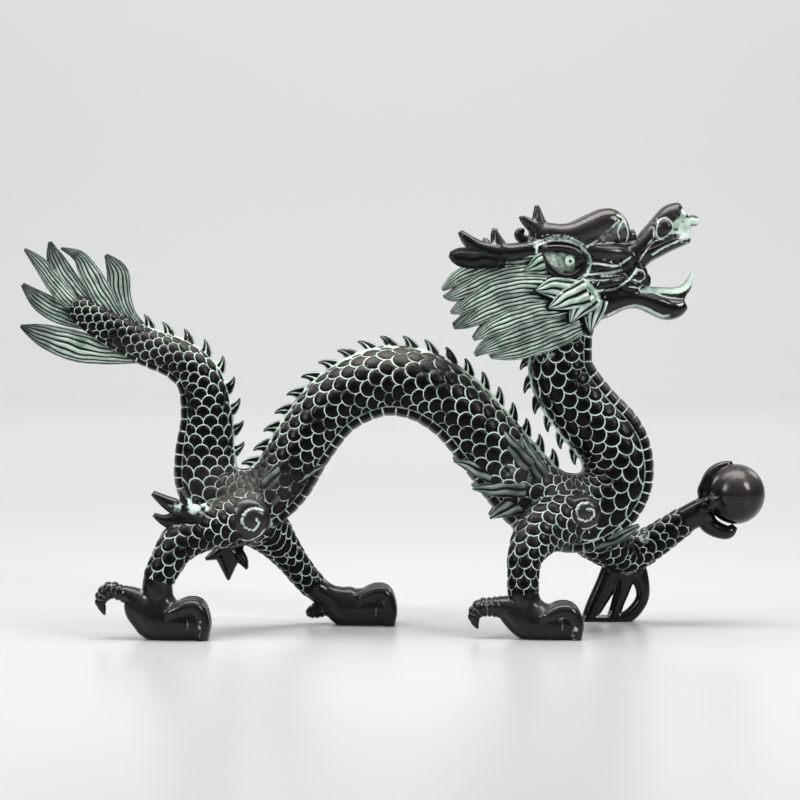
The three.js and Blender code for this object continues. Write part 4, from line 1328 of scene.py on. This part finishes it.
# %% Group: engraved scale lines
n, given, out = effect_group("Scale lines", {"Along": 0.0, "Around": 0.0, "Line Width": 0.5},
                             {"Line": FLOAT, "Height": FLOAT, "Scale Tone": FLOAT})
row = n.math("FLOOR", n.math("DIVIDE", given["Along"], SCALE_PITCH))
next_row = n.plus(row, 1.0)
ahead = n.minus(given["Along"], n.times(next_row, SCALE_PITCH))
shift = n.times(n.math("FLOORED_MODULO", next_row, 2.0), 0.5)
placed = n.plus(n.minus(n.math("DIVIDE", given["Around"], SCALE_WIDE), shift), 0.5)
column = n.math("FLOOR", placed)
off = n.times(n.minus(n.minus(placed, column), 0.5), SCALE_WIDE)
reach = n.math("SQRT", n.plus(n.times(ahead, ahead), n.times(off, off)))
seam = n.plus(n.math("ABSOLUTE", off), n.times(n.math("GREATER_THAN", ahead, -SCALE_ROUND), NO_SEAM))
gap = n.math("MINIMUM", n.math("ABSOLUTE", n.minus(reach, SCALE_ROUND)), seam)
inside = n.math("LESS_THAN", reach, SCALE_ROUND)
n.feed(out["Line"], n.ramp(gap, n.times(given["Line Width"], 0.45), given["Line Width"], 1.0, 0.0))
own = n.plus(ahead, SCALE_ROUND, n.times(n.minus(1.0, inside), SCALE_PITCH))
slope = n.minus(1.0, n.math("DIVIDE", own, SCALE_ROUND + SCALE_PITCH))
n.feed(out["Height"], n.plus(n.times(slope, 0.3), n.ramp(gap, 0.1, 1.3, 0.0, 0.4)))
tone = n.add("ShaderNodeTexWhiteNoise", noise_dimensions="2D")
n.feed(tone.inputs["Vector"], n.joined(n.plus(row, inside), n.plus(column, n.times(inside, 0.37))))
n.feed(out["Scale Tone"], tone.outputs["Value"])
print("scale lines:", n.count, "nodes")

# %% Group: verdigris in hollows
PALE = (0.7, 0.84, 0.74, 1.0)
MINTY = (0.29, 0.47, 0.36, 1.0)
n, given, out = effect_group("Verdigris", {"Amount": 0.5, "Drawn": 0.0}, {"Mask": FLOAT, "Colour": COLOUR})
position = n.place()
broken = n.noise(position, 520.0, 4.0, 0.6)
patches = n.noise(position, 60.0, 3.0, 0.5)
fine = n.times(n.most(n.named("fine_hollow"), 0.0), 0.8)
wide = n.times(n.most(n.named("wide_hollow"), 0.0), 0.3)
deep = n.times(n.plus(fine, wide), n.ramp(patches, 0.3, 0.62, 0.35, 1.35), given["Amount"])
dabs = n.times(n.named("dabbed_here"), n.ramp(n.noise(position, 240.0, 4.0, 0.65), 0.38, 0.6, 0.2, 1.2))
drawn = n.times(given["Drawn"], n.ramp(patches, 0.25, 0.55, 0.72, 1.0))
laid_on = n.most(deep, dabs, drawn)
n.feed(out["Mask"], n.ramp(n.plus(laid_on, n.times(n.minus(broken, 0.5), 0.7)), 0.3, 0.8))
n.feed(out["Colour"], n.blend(n.ramp(n.noise(position, 130.0), 0.48, 0.7), PALE, MINTY))
print("verdigris:", n.count, "nodes")

# %% Group: painted brown sheen on what faces up
n, given, out = effect_group("Painted sheen on tops", {"Amount": 0.5}, {"Mask": FLOAT})
facing = n.split(n.add("ShaderNodeNewGeometry").outputs["Normal"])["Z"]
position = n.place()
cloud = n.noise(position, 38.0, 4.0, 0.6)
grit = n.noise(position, 700.0, 2.0, 0.7)
# Painted sheen: faces are painted browner the more they turn up, as the top lamp would light them, and the
# listed sheen places add more.
sheen_mask = n.times(n.ramp(facing, 0.1, 0.95), n.ramp(cloud, 0.32, 0.62, 0.35, 0.8))
sheen_mask = n.math("ADD", sheen_mask, n.times(n.named("sheen_here"), 0.9), clamp=True)
n.feed(out["Mask"], n.times(sheen_mask, n.ramp(grit, 0.3, 0.7, 0.7, 1.0), given["Amount"]))
print("rubbed tops:", n.count, "nodes")

# %% Group: cast grain
n, given, out = effect_group("Cast grain", {}, {"Height": FLOAT, "Roughness": FLOAT})
position = n.place()
sand = n.times(n.noise(position, 900.0, 3.0, 0.6), 0.5)
dimples = n.times(n.noise(position, 210.0), 0.5)
n.feed(out["Height"], n.plus(sand, dimples))
n.feed(out["Roughness"], n.ramp(n.noise(position, 120.0, 4.0, 0.6), 0.3, 0.7, 0.2, 0.38))
print("groups:", [g.name for g in bpy.data.node_groups])

# %% [markdown]
# ## Materials
# All finishes are the same black lacquered bronze. What changes is the pattern the pale paint follows.
# Each material gives its own line mask, height and base amount of pale paint to the same recipe, and
# the recipe wires them to its own Principled shader.

# %% The shared recipe
BLACK = (0.0022, 0.0024, 0.0026, 1.0)
SHEEN_BROWN = (0.13, 0.116, 0.106, 1.0)
SOOT = (0.008, 0.008, 0.009, 1.0)
SOOT_SHARE = 0.3
BARE_METAL = 0.25
PAINT_ROUGHER = 0.42
GRAIN_MM = 0.1
MILLIMETRE = 0.001


def line_worn_and_under_sheen(n, line):
    # Pale lines break up in random patches of wear and fade under the painted sheen.
    patchy = n.ramp(n.noise(n.place(), 75.0, 4.0, 0.6), 0.36, 0.56, 0.42, 1.0)
    under_sheen = n.ramp(n.named("sheen_here"), 0.25, 0.9, 1.0, 0.6)
    return n.times(line, under_sheen, patchy)


def bronze(material, line, height, height_mm, verdigris, sheen_amount, tone=None, base_pale=None,
           rough_add=0.0, shine=0.13):
    n = Nodes(material.node_tree)
    grain = use_group(n, "Cast grain")
    lie = n.map("lie")
    drawn = n.most(line_worn_and_under_sheen(n, line(n)) if line else 0.0, lie["Y"])
    green = use_group(n, "Verdigris", Amount=verdigris, Drawn=drawn)
    sheen_mask = use_group(n, "Painted sheen on tops", Amount=sheen_amount)["Mask"]
    # Painted sheen: black is blended towards brown where faces turn up and at the listed places, standing in
    # for the reflection of the top lamp.
    black_with_sheen = n.blend(sheen_mask, BLACK, SHEEN_BROWN)
    if tone:
        black_with_sheen = n.blend(n.times(tone(n), SOOT_SHARE), black_with_sheen, SOOT)
    mask = green["Mask"]
    if base_pale:
        mask = n.most(mask, base_pale(n))
    mask = n.times(mask, n.ramp(lie["Y"], -0.6, -0.15, 0.0, 1.0))
    dull = n.times(n.most(mask, n.times(sheen_mask, 0.35)), PAINT_ROUGHER)
    surface = n.times(grain["Height"], GRAIN_MM)
    if height:
        surface = n.plus(n.times(height(n), height_mm), surface)
    bump = n.add("ShaderNodeBump")
    n.feed_all(bump, {"Strength": 1.0, "Distance": MILLIMETRE, "Height": surface})
    n.feed_all(material.node_tree.nodes["Principled BSDF"], {
        "Base Color": n.blend(mask, black_with_sheen, green["Colour"]),
        "Roughness": n.math("ADD", n.plus(grain["Roughness"], dull), rough_add, clamp=True),
        "Metallic": n.times(n.minus(1.0, mask), BARE_METAL),
        "Specular IOR Level": shine,
        "Normal": bump.outputs[0],
    })


print("recipe ready for", len(finish_materials), "finishes")


# %% Patterns on the scales, plates and strands
LINE_WIDE = 0.38


def scale_node(n):
    run = n.map("run")
    waver = n.times(n.minus(n.noise(n.place(), 260.0, 2.0), 0.5), 0.7)
    along = n.plus(run["X"], waver)
    return use_group(n, "Scale lines", **{"Along": along, "Around": run["Y"], "Line Width": LINE_WIDE})


def plate_line(n):
    return n.ramp(n.zigzag(n.math("DIVIDE", n.map("lie")["X"], PLATE_PITCH)), 0.78, 0.95)


def strand_line(n):
    run = n.map("run")
    slow = n.plus(n.times(run["X"], 0.24), n.times(run["Y"], 0.5))
    quick = n.plus(n.times(run["X"], 0.57), n.minus(1.0, n.times(run["Y"], 0.3)))
    sway = n.plus(n.times(n.math("SINE", slow), SWAY), n.times(n.math("SINE", quick), 0.5 * SWAY))
    return n.zigzag(n.plus(n.math("DIVIDE", run["Y"], STRAND_WIDE), sway))


def strand_pale(n):
    run = n.map("run")
    ridge = n.ramp(strand_line(n), 0.36, 0.84, 1.0, 0.0)
    blotch = n.ramp(n.noise(n.place(), 110.0), 0.38, 0.54, 0.62, 1.0)
    drawn_out = n.joined(n.times(run["X"], 0.07), n.times(run["Y"], 0.8))
    streak = n.ramp(n.noise(drawn_out, 1.0), 0.32, 0.52, 0.42, 1.0)
    # Painted shade: the pale paint fades out in the wide hollows between locks, which are left black.
    gap = n.ramp(n.named("wide_hollow"), 0.2, 0.8, 1.0, 0.15)
    return n.times(ridge, streak, gap, blotch)


print("scale line", LINE_WIDE, "mm wide at most")

# %% Give each finish its own values
for material in finish_materials:
    material.use_nodes = True
skin_mat, plate_mat, strand_mat, ridge_mat, polished_mat, eye_mat = finish_materials
# In each call the number after the verdigris amount is the amount of painted brown sheen on faces turned up.
bronze(skin_mat, lambda n: scale_node(n)["Line"], lambda n: scale_node(n)["Height"], 0.5, 0.18, 0.7,
       tone=lambda n: scale_node(n)["Scale Tone"])
bronze(plate_mat, plate_line, lambda n: n.times(plate_line(n), -1.0), 0.3, 0.6, 0.5)
bronze(strand_mat, None, lambda n: n.times(strand_line(n), -1.0), 0.6, 0.25, 0.3,
       base_pale=strand_pale, rough_add=0.08)
bronze(ridge_mat, lambda n: n.times(n.ramp(strand_line(n), 0.58, 0.86), 0.95), None, 0.1, 0.8, 0.5)
bronze(polished_mat, None, None, 0.1, 0.4, 0.7, rough_add=-0.11, shine=0.5)
bronze(eye_mat, None, None, 0.05, 0.3, 0.0, rough_add=-0.08, shine=0.4)
print("materials:", [m.name for m in bpy.data.materials if m.users])

# %% [markdown]
# ## Stage, light and camera
# A pale floor that curves up behind, a big soft lamp straight above so that tops shine and sides stay
# black, two narrow fills in front and two weak ones behind. The camera stands level with the body and
# far away, with a long lens, as for a catalogue.

# %% Stage
FLOOR_HALF = 3.2
SWEEP_START = 1.9
SWEEP_RADIUS = 0.9
SWEEP_TOP = 2.6
FLOOR_GREY = (0.565, 0.568, 0.565, 1)
FLOOR_ROUGHNESS = 0.3
floor_rows = [(-FLOOR_HALF, 0.0), (SWEEP_START, 0.0)]
for rise in np.linspace(0.08, math.pi / 2, 18):
    floor_rows.append((SWEEP_START + SWEEP_RADIUS * math.sin(rise), SWEEP_RADIUS * (1 - math.cos(rise))))
floor_rows.append((SWEEP_START + SWEEP_RADIUS, SWEEP_TOP))
floor_points = [(x, y, z) for y, z in floor_rows for x in (-FLOOR_HALF, FLOOR_HALF)]
floor_faces = [(2 * i, 2 * i + 1, 2 * i + 3, 2 * i + 2) for i in range(len(floor_rows) - 1)]
floor_mesh = bpy.data.meshes.new("studio_floor")
floor_mesh.from_pydata(floor_points, [], floor_faces)
floor_mesh.polygons.foreach_set("use_smooth", [True] * len(floor_mesh.polygons))
floor = bpy.data.objects.new("studio_floor", floor_mesh)
bpy.context.scene.collection.objects.link(floor)
floor_mat = bpy.data.materials.new("pale_floor")
floor_mat.use_nodes = True
shader = floor_mat.node_tree.nodes["Principled BSDF"]
shader.inputs["Base Color"].default_value = FLOOR_GREY
shader.inputs["Roughness"].default_value = FLOOR_ROUGHNESS
floor_mesh.materials.append(floor_mat)
print("floor:", len(floor_faces), "strips")

# %% Lamps and world
LAMPS = [
    ("top_softbox", (0.0, 0.0, 0.9), (0, 0.02, 0.1), (1.1, 0.5), 11),
    ("left_fill", (-1.0, -0.75, 0.75), (0, 0, 0.1), (0.15, 0.55), 7),
    ("right_fill", (1.0, -0.7, 0.8), (0, 0, 0.1), (0.15, 0.55), 8),
    ("back_left_fill", (-1.0, 0.95, 0.85), (0, 0, 0.1), (0.3, 0.5), 3),
    ("back_right_fill", (1.0, 0.95, 0.85), (0, 0, 0.1), (0.3, 0.5), 3),
    ("backdrop_wash", (0.0, 1.2, 1.5), (0, 2.7, 0.35), (3.0, 0.5), 44),
]
WORLD_COLOUR = (0.86, 0.89, 0.92, 1)
WORLD_STRENGTH = 0.22
for name, place, aim, size, power in LAMPS:
    data = bpy.data.lights.new(name, "AREA")
    data.shape = "RECTANGLE"
    data.size, data.size_y = size
    data.energy = power
    lamp = bpy.data.objects.new(name, data)
    lamp.location = place
    lamp.rotation_euler = (Vector(aim) - Vector(place)).to_track_quat("-Z", "Y").to_euler()
    bpy.context.scene.collection.objects.link(lamp)
world = bpy.context.scene.world or bpy.data.worlds.new("studio")
bpy.context.scene.world = world
world.use_nodes = True
background = world.node_tree.nodes["Background"]
background.inputs["Color"].default_value = WORLD_COLOUR
background.inputs["Strength"].default_value = WORLD_STRENGTH
bpy.context.scene.view_settings.view_transform = "Standard"
print("lamps:", len(LAMPS))

# %% Camera
CAMERA_AWAY = 1.5
CAMERA_TILT = math.radians(3.1)
CAMERA_AIM = Vector((0.0019, 0.0, 0.1081))
SENSOR_MM = 36
VIEW_WIDE = 0.3728
camera_data = bpy.data.cameras.new("catalogue_camera")
camera_data.sensor_width = SENSOR_MM
camera_data.lens = SENSOR_MM * CAMERA_AWAY / VIEW_WIDE
camera_data.clip_end = 20
camera = bpy.data.objects.new("catalogue_camera", camera_data)
back = Vector((0, -math.cos(CAMERA_TILT), math.sin(CAMERA_TILT)))
camera.location = CAMERA_AIM + CAMERA_AWAY * back
camera.rotation_euler = (math.pi / 2 - CAMERA_TILT, 0, 0)
bpy.context.scene.collection.objects.link(camera)
bpy.context.scene.camera = camera
print("lens", round(camera_data.lens), "mm")

bpy.context.view_layer.update()
